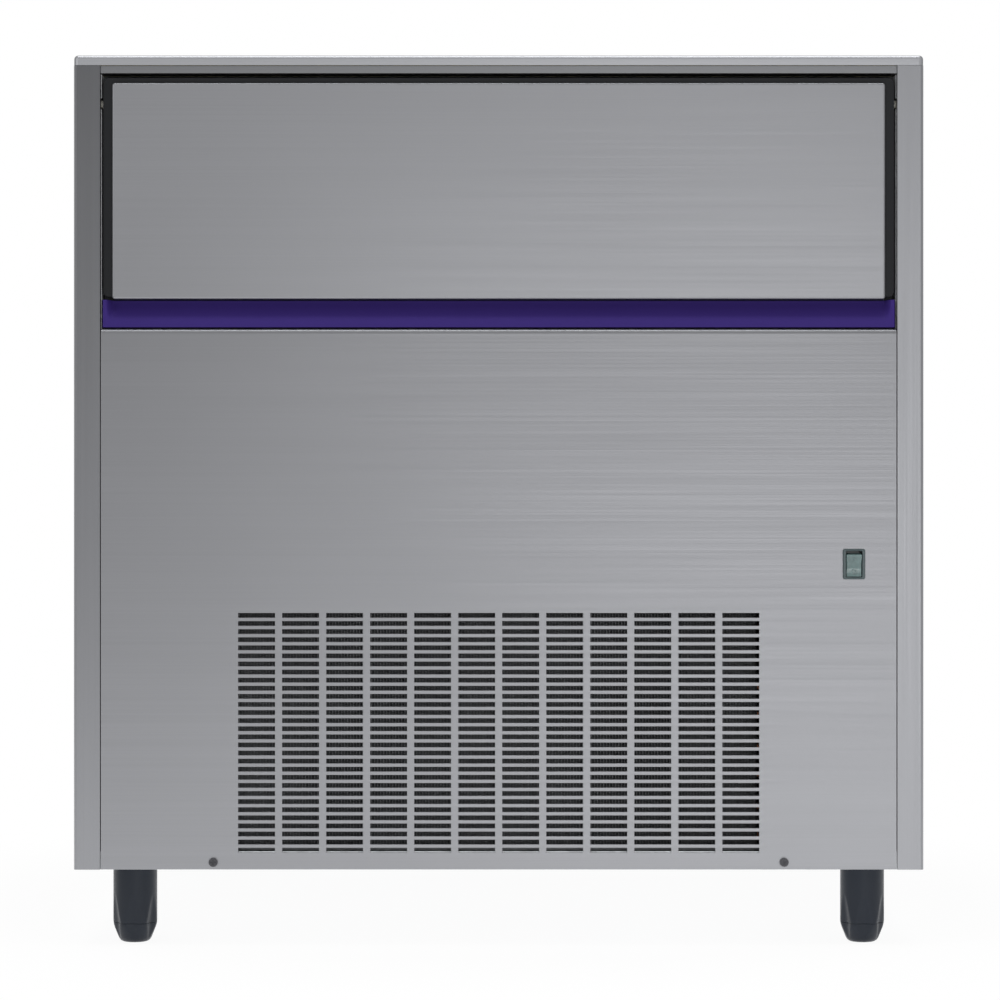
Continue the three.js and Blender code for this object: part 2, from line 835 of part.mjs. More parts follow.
// The coloured grip is a shallow scoop under the skin's lower hem, with closed ends.
function doorGripStrip() {
  const top = doorZ(doorSkinBottom) - 2 * seat;
  const bottom = doorZ(doorBottom);
  const height = top - bottom - gripWall;
  const points = [];
  for (let i = 0; i <= gripSteps; i += 1) {
    const turn = (Math.PI / 2) * (i / gripSteps);
    const depth = sheet + (gripDepth - sheet) * Math.sin(turn) ** 2;
    points.push([doorY(depth), bottom + gripWall + (height * i) / gripSteps]);
  }
  const rear = doorY(gripDepth + gripWall);
  const face = [
    [doorY(sheet), bottom],
    ...points,
    [rear, top],
    [rear, bottom],
  ];
  const h = doorFrameHalf;
  const body = widened(outline(face), -h, h);
  const ends = [-1, 1].map((side) =>
    block(side * (h - gripWall), side * h, doorY(sheet), rear, bottom, top),
  );
  return join(body, ...ends);
}

function doorLiner() {
  const h = doorFrameHalf - doorLinerMargin;
  const bottom = doorZ(doorBottom) + sealLift + sealHeight + 2 * seat;
  const top = doorZ(doorTop) - doorLinerMargin;
  const front = doorY(doorThickness - doorLinerDepth);
  const sheetRear = doorY(doorThickness) - linerPadHeight;
  const pan = deepened(roundedOutline(-h, h, bottom, top, doorCorner), front, sheetRear);
  const m = linerPadMargin;
  const padOutline = roundedOutline(-h + m, h - m, bottom + m, top - m, doorCorner * 2);
  const pad = deepened(padOutline, front, doorY(doorThickness));
  return join(pan, pad);
}

function doorSeal() {
  const y = doorY(doorThickness) + seat;
  const z = doorZ(doorBottom) + sealLift;
  const bulb = new THREE.Shape();
  bulb.moveTo(y, z);
  bulb.lineTo(y + sealDepth / 3, z);
  bulb.absellipse(
    y + sealDepth / 3,
    z + sealHeight / 2,
    (sealDepth * 2) / 3,
    sealHeight / 2,
    -Math.PI / 2,
    Math.PI / 2,
  );
  bulb.lineTo(y, z + sealHeight);
  const half = doorFrameHalf - doorLinerMargin;
  return widened(bulb, -half, half, 3);
}

// A moulded runner with its pivot pin, for one side of the door.
function doorRunner(side) {
  const inner = side * (guideInner + seat);
  const outer = side * (guideInner + seat + runnerWidth);
  const shoeOutline = roundedOutline(
    -runnerLength / 2,
    runnerLength / 2,
    -runnerHeight / 2,
    runnerHeight / 2,
    sheet,
  );
  const shoe = widened(shoeOutline, inner, outer, 1);
  const tip = side * (doorFrameHalf - pinBoreDepth + pinClearance);
  const pin = rodAlongX(pinRadius, tip, side * (guideInner + runnerWidth / 2), 0, 0, 10);
  return join(shoe, pin);
}

function guideRail(side) {
  const x0 = side * guideInner;
  const x1 = side * innerHalf;
  const z = guideHalfHeight;
  const channel = block(x0, x1, guideFront, guideRear, -z, z);
  const shoe = runnerHeight / 2 + seat;
  const slotInner = side * (guideInner - overrun);
  const slotOuter = side * (innerHalf - sheet);
  const slot = block(slotInner, slotOuter, guideFront + sheet, guideRear - sheet, -shoe, shoe);
  return carve(channel, slot);
}

// Storage bin
function binInsulation() {
  const foam = block(-innerHalf, innerHalf, binFront, foamRear, binBottom, foamTop);
  const above = foamTop + overrun;
  const tub = block(-foamInner, foamInner, binFront + binFrontWall, linerRear + seat, linerFloor - seat, above);
  const mouthFloor = sillTop - linerSheet - seat;
  const mouth = block(-foamInner, foamInner, 0, binFront + binFrontWall + overrun, mouthFloor, above);
  const cutters = [tub, mouth];
  const recess = guideHalfHeight + seat;
  for (const side of [-1, 1]) {
    const inner = side * (foamInner - overrun);
    const outer = side * (innerHalf + overrun);
    const rear = guideRear + seat;
    cutters.push(block(inner, outer, 0, rear, doorPivotZ - recess, doorPivotZ + recess));
  }
  const behind = foamRear + overrun;
  const chaseFront = foamRear - chaseDepth;
  cutters.push(block(chaseLeft, chaseRight, chaseFront, behind, binBottom - overrun, chaseTop));
  cutters.push(...pipeHoles(linerRear - overrun, chaseFront + overrun));
  cutters.push(rodAlongZ(drainRadius + seat, drainX, drainY, binBottom - overrun, linerFloor + overrun, 12));
  return carve(foam, ...cutters);
}

// The pipes pass the rear wall of the bin at this height, each through a hole of its own.
function portZ() {
  return (chaseTop + cupTopZ) / 2;
}

// Points of a pipe's route, from the bin back to the chase, level with its hole.
function throughWall(x, z) {
  return [linerRear - valveBlock, linerRear - linerSheet, foamRear - chaseDepth].map((y) => [x, y, z]);
}

function pipeHoles(y0, y1) {
  const pipes = [
    [hotGasX, coilRadius, portZ()],
    [suctionX, suctionRadius, portZ()],
    [capillaryX, capillaryRadius, portZ() + pipeHoleClearance],
  ];
  return pipes.map(([x, radius, z]) => rodAlongY(radius + pipeHoleClearance, x, y0, y1, z, 12));
}

function binLiner() {
  const top = foamTop - seat;
  const floorTop = linerFloor + linerSheet;
  const tubOuter = block(-linerOuter, linerOuter, linerWallY, linerRear, linerFloor, top);
  const wallInner = linerWallY + linerSheet;
  const above = top + overrun;
  const rearInner = linerRear - linerSheet;
  const inner = block(-linerHalf, linerHalf, wallInner, rearInner, floorTop, above);
  const mouth = block(-linerHalf, linerHalf, 0, wallInner + overrun, sillTop, above);
  const tub = carve(tubOuter, inner, mouth);
  const strips = [-1, 1].map((side) => {
    return block(side * linerHalf, side * linerOuter, linerFront, wallInner, doorPivotZ, top);
  });
  const slotHalf = pinSlotHalf();
  const cutters = [];
  for (const side of [-1, 1]) {
    const a = side * (linerHalf - overrun);
    const b = side * (linerOuter + overrun);
    const rear = doorPivotDepth + doorTravel + pinRadius + linerSheet;
    cutters.push(block(a, b, 0, rear, doorPivotZ - slotHalf, doorPivotZ + slotHalf));
  }
  cutters.push(...drainGrid(linerFloor - overrun, floorTop + overrun));
  cutters.push(...pipeHoles(rearInner - overrun, linerRear + overrun));
  return carve(join(tub, ...strips), ...cutters);
}

// The bin drains through narrow slots that hold the ice back.
function drainGrid(z0, z1) {
  const slots = [];
  const pitch = (2 * drainBore) / drainSlots;
  const half = drainSlotWidth / 2;
  for (let i = 0; i < drainSlots; i += 1) {
    const x = drainX + (i - (drainSlots - 1) / 2) * pitch;
    slots.push(block(x - half, x + half, drainY - drainBore, drainY + drainBore, z0, z1));
  }
  return slots;
}

function pinSlotHalf() {
  return pinRadius + pinSlotClearance;
}

// The moulded surround of the bin's mouth: a sill, its turned-down apron and a wing up each side.
function doorSurround() {
  const rear = linerWallY - seat;
  const sillUnder = sillTop - linerSheet;
  const lip = block(-linerOuter, linerOuter, sillDepth, rear, sillUnder, sillTop);
  const apronBottom = sillTop - sillTurnDown;
  const apronRear = sillDepth + linerSheet;
  const apron = block(-linerOuter, linerOuter, sillDepth, apronRear, apronBottom, sillTop);
  const wings = [];
  for (const side of [-1, 1]) {
    const a = side * linerHalf;
    const b = side * linerOuter;
    wings.push(block(a, b, linerFront, rear, sillUnder, doorPivotZ - pinSlotHalf()));
    wings.push(block(a, b, linerFront, apronRear, apronBottom, sillTop));
  }
  return join(lip, apron, ...wings);
}

// Ice making group
function waterTank() {
  const w = tankWall;
  const body = block(tankLeft, tankRight, tankFront, tankRear, tankBottom, tankTop);
  const inside = block(
    tankLeft + w,
    tankRight - w,
    tankFront + w,
    tankRear - w,
    tankBottom + w,
    tankTop + overrun,
  );
  const window = block(
    tankLeft + 3 * w,
    tankRight - 3 * w,
    tankFront - overrun,
    tankFront + w + overrun,
    tankWindowBottom,
    tankWindowTop,
  );
  const sprayHole = rodAlongX(
    sprayRadius + seat,
    tankRight - w - overrun,
    tankRight + overrun,
    sprayY,
    sprayZ,
    12,
  );
  const shell = carve(body, inside, window, sprayHole);
  const ears = [];
  for (const [x0, x1] of [[tankLeft, tankLeft + w], [tankRight - w, tankRight]]) {
    const z0 = rodZ - earHeight / 2;
    ears.push(block(x0, x1, tankFront - earLength, tankFront + w, z0, z0 + earHeight));
  }
  const rodHole = rodAlongX(
    rodRadius + seat,
    tankLeft - overrun,
    tankRight + overrun,
    tankFront - rodInset,
    rodZ,
    10,
  );
  return carve(join(shell, ...ears), rodHole);
}

// A plate that carries rows of inverted cups, open below, where the cubes freeze.
function evaporatorPlate() {
  const m = evaporatorMargin;
  const left = tankLeft + m / 4;
  const right = tankRight - m / 4;
  const top = plateZ + plateThickness;
  const plate = block(left, right, tankFront + m, tankRear - m / 4, plateZ, top);
  const cups = [];
  const hollows = [];
  for (let row = 0; row < cupRows; row += 1) {
    for (let column = 0; column < cupColumns; column += 1) {
      const x = cupMidX + (column - (cupColumns - 1) / 2) * cupPitchX;
      const y = cupFirstY + row * cupPitchY;
      cups.push(cupShape(cupRadius, cupTopRadius, plateZ, cupTopZ).translate(x, y, 0));
      const under = plateZ - overrun;
      const inner = cupRadius - cupWall;
      const hollow = cupShape(inner, cupTopRadius - cupWall, under, cupTopZ - cupWall);
      hollows.push(hollow.translate(x, y, 0));
    }
  }
  return carve(join(plate, ...cups), ...hollows);
}

function cupShape(lowRadius, highRadius, z0, z1) {
  return turned([[0, z0], [lowRadius, z0], [highRadius, z1], [0, z1]], 8);
}

// The refrigerant coil runs to and fro along the tops of the cup rows.
function evaporatorCoil() {
  const points = [];
  const bend = cupPitchY / 2;
  const left = cupMidX - ((cupColumns - 1) / 2) * cupPitchX;
  const right = cupMidX + ((cupColumns - 1) / 2) * cupPitchX;
  points.push([tankLeft, cupFirstY, coilZ]);
  for (let row = 0; row < cupRows; row += 1) {
    const y = cupFirstY + row * cupPitchY;
    const forward = row % 2 === 0;
    const start = forward ? left : right;
    const end = forward ? right : left;
    const outward = forward ? bend : -bend;
    points.push([start, y, coilZ]);
    points.push([(start + end) / 2, y, coilZ]);
    points.push([end, y, coilZ]);
    if (row < cupRows - 1) points.push([end + outward, y + bend, coilZ]);
  }
  points.push([tankLeft, cupFirstY + (cupRows - 1) * cupPitchY, coilZ]);
  return tube(points, coilRadius, 2);
}

function iceSlide() {
  const half = (tankRight - tankLeft) / 2 - tankWall - seat;
  const length = (tankRear - tankFront - 2 * tankWall - 2 * slideThickness) / Math.cos(slideSlope);
  const slab = block(-half, half, -length, 0, 0, slideThickness);
  const pitch = (2 * half - 2 * slideBorder) / slideBars;
  const slotHalf = (pitch * (1 - slideBarShare)) / 2;
  const slots = [];
  for (let i = 0; i < slideBars; i += 1) {
    const x = -half + slideBorder + (i + 0.5) * pitch;
    const front = -length + slideBorder;
    slots.push(block(x - slotHalf, x + slotHalf, front, -slideBorder, -overrun, 2 * overrun));
  }
  const slope = carve(slab, mergeGeometries(slots)).rotateX(slideSlope);
  const rear = tankRear - tankWall - slideThickness;
  return slope.translate((tankLeft + tankRight) / 2, rear, slideRearZ);
}

function sprayBar() {
  const left = tankLeft + 2 * tankWall + overrun;
  const pipe = rodAlongX(sprayRadius, left, tankRight + 2 * sprayRadius, sprayY, sprayZ, 8);
  const nozzles = [];
  for (let column = 0; column < cupColumns; column += 1) {
    const x = cupMidX + (column - (cupColumns - 1) / 2) * cupPitchX;
    const tip = sprayRadius + nozzleHeight;
    const cone = turned([[0, 0], [nozzleRadius, 0], [nozzleTip, tip], [0, tip]], 6);
    nozzles.push(cone.translate(x, sprayY, sprayZ));
  }
  return join(pipe, ...nozzles);
}

function curtainRod() {
  return rodAlongX(rodRadius, tankLeft, tankRight, tankFront - rodInset, rodZ, 10);
}

// One hanging strip of the curtain, about the rod's axis.
function curtainFlap(width) {
  const barrel = rodAlongX(flapBarrel, 0, width, 0, 0, 10);
  const drop = rodZ - flapBottom;
  const strip = block(0, width, -flapThickness / 2, flapThickness / 2, -drop, -rodRadius - seat);
  const bore = rodAlongX(rodRadius + seat, -overrun, width + overrun, 0, 0, 10);
  return carve(join(barrel, strip), bore);
}

function waterPump() {
  const x = tankRight + seat + pumpVoluteRadius;
  const z0 = tankBottom;
  const z1 = z0 + pumpVoluteHeight;
  const neck = pumpVoluteHeight / 3;
  const body = turned([
    [0, z0],
    [pumpVoluteRadius, z0],
    [pumpVoluteRadius, z1],
    [pumpNeckRadius, z1 + neck],
    [pumpRadius, z1 + 2 * neck],
    [pumpRadius, pumpTop - neck],
    [pumpCapRadius, pumpTop],
    [0, pumpTop],
  ], 12).translate(x, pumpY(), 0);
  const outletY = pumpY() + pumpVoluteRadius + hoseRadius;
  const outlet = rodAlongY(hoseRadius, x, pumpY(), outletY, z0 + pumpVoluteHeight / 2, 8);
  return join(body, outlet);
}

function pumpY() {
  return sprayY - 3 * pumpVoluteRadius;
}

function pumpHose() {
  const x = tankRight + seat + pumpVoluteRadius;
  const y = pumpY() + pumpVoluteRadius + hoseRadius + seat;
  const z = tankBottom + pumpVoluteHeight / 2;
  const end = tankRight + 2 * sprayRadius + seat;
  const points = [
    [x, y, z],
    [x, y + hoseRadius * 2, z],
    [x, sprayY - 2 * hoseRadius, sprayZ],
    [x - hoseRadius / 2, sprayY, sprayZ],
    [end, sprayY, sprayZ],
  ];
  return tube(points, hoseRadius, 3);
}

// Refrigeration set
function condenser() {
  const y0 = condenserFront;
  const y1 = condenserFront + condenserDepth;
  const finTop = condenserTop - condenserPlate;
  const inner = condenserHalf - condenserPlate;
  const pitch = (2 * inner) / condenserFins;
  const coreInset = (condenserDepth * (1 - condenserCoreShare)) / 2;
  const finWide = pitch * condenserFinShare;
  const comb = [];
  for (let i = 0; i < condenserFins; i += 1) {
    const x = -inner + (i + 0.5) * pitch;
    comb.push([x - finWide / 2, y0 + coreInset], [x - finWide / 2, y0]);
    comb.push([x + finWide / 2, y0], [x + finWide / 2, y0 + coreInset]);
  }
  const rear = comb.map(([x, y]) => [x, y0 + y1 - y]).reverse();
  const ends = [[inner, y0 + coreInset], [inner, y1 - coreInset]];
  const starts = [[-inner, y1 - coreInset], [-inner, y0 + coreInset]];
  const core = raised(outline([...comb, ...ends, ...rear, ...starts]), condenserFinBottom, finTop);
  const plates = [-1, 1].map((side) =>
    block(side * inner, side * condenserHalf, y0, y1, standZ, condenserTop),
  );
  const rails = [
    block(-inner, inner, y0, y1, finTop - condenserPlate, condenserTop),
    block(-inner, inner, y0, y1, condenserFinBottom, condenserFinBottom + condenserPlate),
  ];
  const midY = (y0 + y1) / 2;
  const bends = [];
  for (let pass = 0; pass < condenserPasses; pass += 1) {
    const z = passZ(pass) + returnBendRadius;
    if (pass < condenserPasses - 1) bends.push(returnBend(1, midY, z));
  }
  for (const z of [passZ(0), passZ(condenserPasses - 1) + 2 * returnBendRadius]) {
    const end = -condenserHalf - 2 * returnBendRadius;
    bends.push(rodAlongX(condenserTubeRadius, end, -inner, midY, z, 6));
  }
  return join(core, ...plates, ...rails, ...bends);
}

function passZ(pass) {
  const low = condenserFinBottom + 2 * condenserPlate;
  const span = condenserTop - low - 4 * returnBendRadius;
  return low + returnBendRadius + (span * pass) / (condenserPasses - 1) - returnBendRadius / 2;
}

// A U-shaped return bend that joins two tubes at the end of the condenser.
function returnBend(side, y, z) {
  const x = side * (condenserHalf - condenserPlate);
  const r = returnBendRadius;
  const out = side * (condenserHalf + condenserTubeRadius);
  const points = [[x, y, z - r], [out, y, z - r], [out + side * r, y, z], [out, y, z + r], [x, y, z + r]];
  return tube(points, condenserTubeRadius, 2);
}

function fanShroud() {
  const half = condenserHalf;
  const y0 = shroudFront;
  const y1 = shroudRear;
  const s = shroudSheet;
  const box = block(-half, half, y0, y1, standZ, condenserTop);
  const hollow = block(-half + s, half - s, y0 - overrun, y1 - s, standZ + s, condenserTop - s);
  const collar = rodAlongY(throatRadius + s, 0, y1 - s, y1 + 4 * s, fanZ, 24);
  const throat = rodAlongY(throatRadius, 0, y0 - overrun, y1 + overrun + 4 * s, fanZ, 24);
  return carve(join(carve(box, hollow), collar), throat);
}

// A blade is a thin slab twisted along its span, wider and flatter towards the tip.
function fanBlade() {
  const root = bladeRootRadius;
  const span = fanRadius - root;
  const slab = new THREE.BoxGeometry(1, 1, 1, bladeSpanSteps, bladeChordSteps, 1);
  const place = slab.attributes.position;
  for (let i = 0; i < place.count; i += 1) {
    const along = place.getX(i) + 0.5;
    const across = place.getY(i);
    const chord = bladeRootChord + (bladeTipChord - bladeRootChord) * along;
    const pitch = bladeRootPitch + (bladeTipPitch - bladeRootPitch) * along;
    const bow = bladeCamber * (1 - 4 * across * across);
    const through = place.getZ(i) * bladeThickness + bow;
    const radius = root + span * along;
    const chordwise = across * chord;
    const y = chordwise * Math.sin(pitch) - through * Math.cos(pitch);
    const z = chordwise * Math.cos(pitch) + through * Math.sin(pitch);
    const reach = Math.sqrt(Math.max(radius * radius - z * z, 0));
    place.setXYZ(i, reach, y, z);
  }
  return slab;
}

function condenserFan() {
  const hub = rodAlongY(fanHubRadius, 0, -fanHubLength / 2, fanHubLength / 2, 0, 16);
  const blades = [];
  for (let i = 0; i < fanBlades; i += 1) {
    blades.push(fanBlade().rotateY((2 * Math.PI * i) / fanBlades));
  }
  const boreDepth = fanHubLength / 2 - motorShaftLength / 2;
  const bore = rodAlongY(motorShaftRadius + seat, 0, boreDepth - overrun, fanHubLength, 0, 12);
  return carve(join(hub, ...blades), bore);
}

function fanY() {
  return shroudRear - shroudSheet;
}

function fanMotor() {
  const front = fanY() + fanHubLength / 2 + 2 * overrun;
  const rear = front + motorLength;
  const can = rodAlongY(motorRadius, 0, front, rear, fanZ, 14);
  const shaftTip = fanY() + fanHubLength / 2 - motorShaftLength / 2 - overrun / 2;
  const shaft = rodAlongY(motorShaftRadius, 0, shaftTip + 2 * seat, front + overrun, fanZ, 8);
  const reach = throatRadius + motorArmWidth;
  const armFront = rear - motorArmThickness * 2;
  const armRear = rear - motorArmThickness;
  const half = motorArmWidth / 2;
  const arm = block(-reach, reach, armFront, armRear, fanZ - half, fanZ + half);
  const legs = [-1, 1].map((side) =>
    block(
      side * (reach - motorArmThickness),
      side * reach,
      shroudRear + seat,
      armRear,
      fanZ - half,
      fanZ + half,
    ),
  );
  return join(can, shaft, arm, ...legs);
}

function compressor() {
  const z0 = standZ + compressorGrommet;
  const plateTop = z0 + condenserPlate;
  const z1 = standZ + compressorHeight;
  const r = compressorRounding;
  const R = compressorRadius;
  const seamZ = (z0 + z1) / 2;
  const s = compressorSeam;
  const lower = z0 + r / 3;
  const can = turned([
    [0, z0],
    [R - r, z0],
    [R - s, lower],
    [R - s, seamZ - s],
    [R, seamZ - s / 2],
    [R, seamZ + s / 2],
    [R - s, seamZ + s],
    [R - s, z1 - r],
    [R - s - r * compressorDomeShare, z1 - r * compressorDomeShare],
    [R - s - r, z1],
    [0, z1],
  ], 16);
  const half = compressorFoot / 2;
  const plate = raised(roundedOutline(-half, half, -half, half, grommetRadius), z0, plateTop, 1);
  const grommets = [];
  for (const sx of [-1, 1]) {
    for (const sy of [-1, 1]) {
      const at = half - grommetRadius;
      grommets.push(rodAlongZ(grommetRadius, sx * at, sy * at, standZ, plateTop, 6));
    }
  }
  const front = rodAlongY(stubRadius, 0, -R - stubLength, -R + r, dischargeZ, 8);
  const rear = rodAlongY(stubRadius, 0, R - r, R + stubLength, suctionZ, 8);
  return join(can, plate, ...grommets, front, rear);
}

function terminalCover() {
  const x0 = compressorX + compressorRadius + seat;
  const half = terminalWidth / 2;
  const z = standZ + compressorHeight / 2;
  const y0 = compressorY - half;
  const y1 = compressorY + half;
  const z0 = z - terminalHeight / 2;
  const z1 = z + terminalHeight / 2;
  const cover = widened(roundedOutline(y0, y1, z0, z1, terminalDepth / 4), x0, x0 + terminalDepth, 1);
  const glandRadius = terminalDepth / 4;
  const gland = rodAlongZ(glandRadius, x0 + terminalDepth / 2, compressorY, z0 - glandRadius, z0 + seat, 8);
  return join(cover, gland);
}

function drierX() {
  return -condenserHalf - 2 * returnBendRadius - seat - drierNeck / 3;
}

function filterDrier() {
  const x = drierX();
  const z = passZ(0);
  const y0 = condenserFront + condenserDepth / 2 - condenserTubeRadius;
  const r = condenserTubeRadius;
  const can = turned([
    [0, 0],
    [r, 0],
    [r, drierNeck],
    [drierRadius, drierNeck * 2],
    [drierRadius, drierLength - drierNeck],
    [capillaryRadius * 2, drierLength],
    [0, drierLength],
  ], 10).rotateX(-Math.PI / 2);
  return can.translate(x, y0, z);
}

function dischargePipe() {
  const startY = compressorY - compressorRadius - stubLength - seat;
  const top = passZ(condenserPasses - 1) + 2 * returnBendRadius;
  const endX = -condenserHalf - 2 * returnBendRadius - seat;
  const midY = condenserFront + condenserDepth / 2;
  const out = endX - 3 * returnBendRadius;
  const main = tube([
    [compressorX, startY, dischargeZ],
    [compressorX, startY - 3 * returnBendRadius, dischargeZ],
    [out, (startY + midY) / 2, (dischargeZ + top) / 2],
    [out, midY + 4 * returnBendRadius, top],
    [endX - returnBendRadius, midY, top],
    [endX, midY, top],
  ], condenserTubeRadius, 3);
  const valveFront = valveY - valveBlock / 2 - seat;
  const branch = tube([
    [compressorX, startY - 2 * returnBendRadius, dischargeZ],
    [compressorX - 5 * returnBendRadius, startY - 2 * returnBendRadius, dischargeZ],
    [valveX, compressorY, (dischargeZ + valveZ) / 2],
    [valveX, valveFront - 2 * returnBendRadius, valveZ],
    [valveX, valveFront, valveZ],
  ], condenserTubeRadius, 3);
  return join(main, branch);
}

function hotGasValve() {
  const half = valveBlock / 2;
  const body = block(-half, half, -half, half, -half, half);
  const neck = rodAlongX(valveCoilRadius / 3, -half - valveCoilRadius, 0, 0, 0, 8);
  const coil = rodAlongX(valveCoilRadius, -half - valveCoilHeight, -half - seat * 3, 0, 0, 14);
  return join(body, neck, coil).translate(valveX, valveY, valveZ);
}

function chaseY() {
  return foamRear - chaseDepth / 2;
}

function hotGasPipe() {
  const start = tankLeft - seat;
  return tube([
    [valveX, valveY, valveZ + valveBlock / 2 + seat],
    [valveX, valveY, valveZ + 3 * valveBlock],
    [hotGasX, chaseY(), binBottom - valveBlock / 2],
    [hotGasX, chaseY(), binBottom + 4 * valveBlock],
    [hotGasX, chaseY(), chaseTop - 4 * valveBlock],
    [hotGasX, chaseY(), portZ() - valveBlock],
    ...throughWall(hotGasX, portZ()).reverse(),
    [hotGasX, cupFirstY + cupPitchY, coilZ],
    [start - 2 * coilRadius, cupFirstY, coilZ],
    [start, cupFirstY, coilZ],
  ], coilRadius, 3);
}

function suctionPipe() {
  const stubEnd = compressorY + compressorRadius + stubLength + seat;
  const lastRow = cupFirstY + (cupRows - 1) * cupPitchY;
  return tube([
    [tankLeft - seat, lastRow, coilZ],
    [tankLeft - suctionRadius, lastRow, coilZ],
    [suctionX, lastRow + cupPitchY / 3, coilZ],
    ...throughWall(suctionX, portZ()),
    [suctionX, chaseY(), portZ() - valveBlock],
    [suctionX, chaseY(), chaseTop - 4 * valveBlock],
    [suctionX, chaseY(), binBottom + 4 * valveBlock],
    [suctionX, chaseY(), binBottom - valveBlock / 2],
    [suctionX + 3 * valveBlock, chaseY() - 2 * valveBlock, suctionZ + valveBlock],
    [compressorX, stubEnd + valveBlock, suctionZ],
    [compressorX, stubEnd, suctionZ],
  ], suctionRadius, 3);
}

function capillaryTube() {
  const drierEnd = condenserFront + condenserDepth / 2 - condenserTubeRadius + drierLength + seat;
  const endX = hotGasX + coilRadius + 2 * seat;
  return tube([
    [drierX(), drierEnd, passZ(0)],
    [drierX(), drierEnd + 2 * valveBlock, passZ(0)],
    [capillaryX, compressorY, passZ(0)],
    [capillaryX, chaseY() - 2 * valveBlock, valveZ + 3 * valveBlock],
    [capillaryX, chaseY(), binBottom - valveBlock],
    [capillaryX, chaseY(), binBottom + 4 * valveBlock],
    [capillaryX, chaseY(), chaseTop - 4 * valveBlock],
    [capillaryX, chaseY(), portZ() - valveBlock],
    ...throughWall(capillaryX, portZ() + pipeHoleClearance).reverse(),
    [endX + valveBlock / 3, linerRear - 2 * valveBlock, chaseTop - 2 * capillaryRadius],
    [endX, linerRear - 3 * valveBlock, portZ()],
  ], capillaryRadius, 3, 4);
}

function controlBox() {
  const x0 = controlX - controlWidth / 2;
  const x1 = controlX + controlWidth / 2;
  const y1 = controlFront + controlDepth;
  const z1 = standZ + controlHeight;
  const lidZ = z1 - controlLid;
  const r = 2 * controlLip;
  const body = raised(roundedOutline(x0, x1, controlFront, y1, r), standZ, lidZ + seat, 1);
  const l = controlLip;
  const lid = raised(roundedOutline(x0 - l, x1 + l, controlFront - l, y1 + l, r), lidZ, z1, 1);
  const glands = [1, 2, 3].map((i) => {
    const y = controlFront + (controlDepth * i) / 4;
    return rodAlongX(2 * r, x0 - 2 * r, x0 + r, y, standZ + 4 * r, 8);
  });
  return join(body, lid, ...glands);
}

// Services
function drainPipe() {
  const top = linerFloor - seat;
  const bend = 4 * drainRadius;
  const rear = cabinetDepth + drainReach;
  const route = tube([
    [drainX, drainY, top],
    [drainX, drainY, (top + drainZ) / 2],
    [drainX, drainY, drainZ + bend],
    [drainX, drainY + bend * drainBendShare, drainZ + bend * drainBendShare],
    [drainX, drainY + bend, drainZ],
    [drainX, (drainY + bend + rear) / 2, drainZ],
    [drainX, rear - overrun, drainZ],
  ], drainRadius - seat, 3, 8);
  const spigot = rodAlongY(drainRadius - seat, drainX, rear - drainReach, rear, drainZ, 10);
  const barb = rodAlongY(drainRadius, drainX, rear - drainReach / 2, rear - drainReach / 4, drainZ, 10);
  const bore = rodAlongY(drainBore, drainX, rear - drainReach, rear + overrun, drainZ, 10);
  return carve(join(route, spigot, barb), bore);
}

function waterInletValve() {
  const thread = rodAlongY(inletRadius, inletX, insideRear - inletReach, cabinetDepth + inletReach, inletZ, 12);
  const collarFront = insideRear - sheet - seat;
  const collar = rodAlongY(inletNutRadius, inletX, collarFront - sheet, collarFront, inletZ, 6);
  const half = inletBodyHalf;
  const bodyRear = insideRear - inletReach;
  const bodyFront = bodyRear - 2 * half;
  const body = block(inletX - half, inletX + half, bodyFront, bodyRear + seat, inletZ - half, inletZ + half);
  const coilTop = inletZ + half + inletCoilHeight;
  const coilY = (bodyFront + bodyRear) / 2;
  const coil = rodAlongZ(inletCoilRadius, inletX, coilY, inletZ, coilTop, 12);
  const outlet = rodAlongY(inletRadius / 2, inletX, bodyFront - inletReach, bodyFront + seat, inletZ, 8);
  const rear = cabinetDepth + inletReach + overrun;
  const bore = rodAlongY(inletBore, inletX, cabinetDepth, rear, inletZ, 10);
  return carve(join(thread, collar, body, coil, outlet), bore);
}

function cableGland() {
  const front = insideRear - glandReach / 2;
  const neck = rodAlongY(glandShankRadius, glandX, front, cabinetDepth + glandReach / 2, glandZ, 12);
  const lockFront = insideRear - sheet - seat - glandReach / 4;
  const lockNut = rodAlongY(glandNutRadius, glandX, lockFront, insideRear - sheet - seat, glandZ, 6);
  const nutFront = cabinetDepth + seat;
  const nut = rodAlongY(glandNutRadius, glandX, nutFront, nutFront + glandReach / 2, glandZ, 6);
  const domeFrom = nutFront + glandReach / 2 - seat;
  const domeLength = cabinetDepth + glandReach - domeFrom;
  const dome = new THREE.CylinderGeometry(glandDomeRadius, glandShankRadius, domeLength, 12);
  dome.translate(glandX, domeFrom + domeLength / 2, glandZ);
  const bore = rodAlongY(glandBore, glandX, front - overrun, cabinetDepth + glandReach + overrun, glandZ, 10);
  return carve(join(neck, lockNut, nut, dome), bore);
}

// Assembly: the fixed cabinet
piece(machine, "base_pan", basePan(), galvanisedSteel());
piece(machine, "left_side_panel", sidePanel(-1), brushedSteel());
piece(machine, "right_side_panel", sidePanel(1), brushedSteel());
piece(machine, "back_panel", backPanel(), galvanisedSteel());
piece(machine, "top_cover", topCover(), brushedSteel());
piece(machine, "top_rail", topRail(), brushedSteel());
piece(machine, "top_insulation", topInsulation(), foamedInsulation());
piece(machine, "lower_front_panel", lowerFrontPanel(), brushedSteel());
for (const [name, side] of [["left", -1], ["right", 1]]) {
  const place = groupAt(machine, side * screwX, 0, screwZ);
  piece(place, `${name}_panel_screw`, panelScrew(), brushedSteel());
}

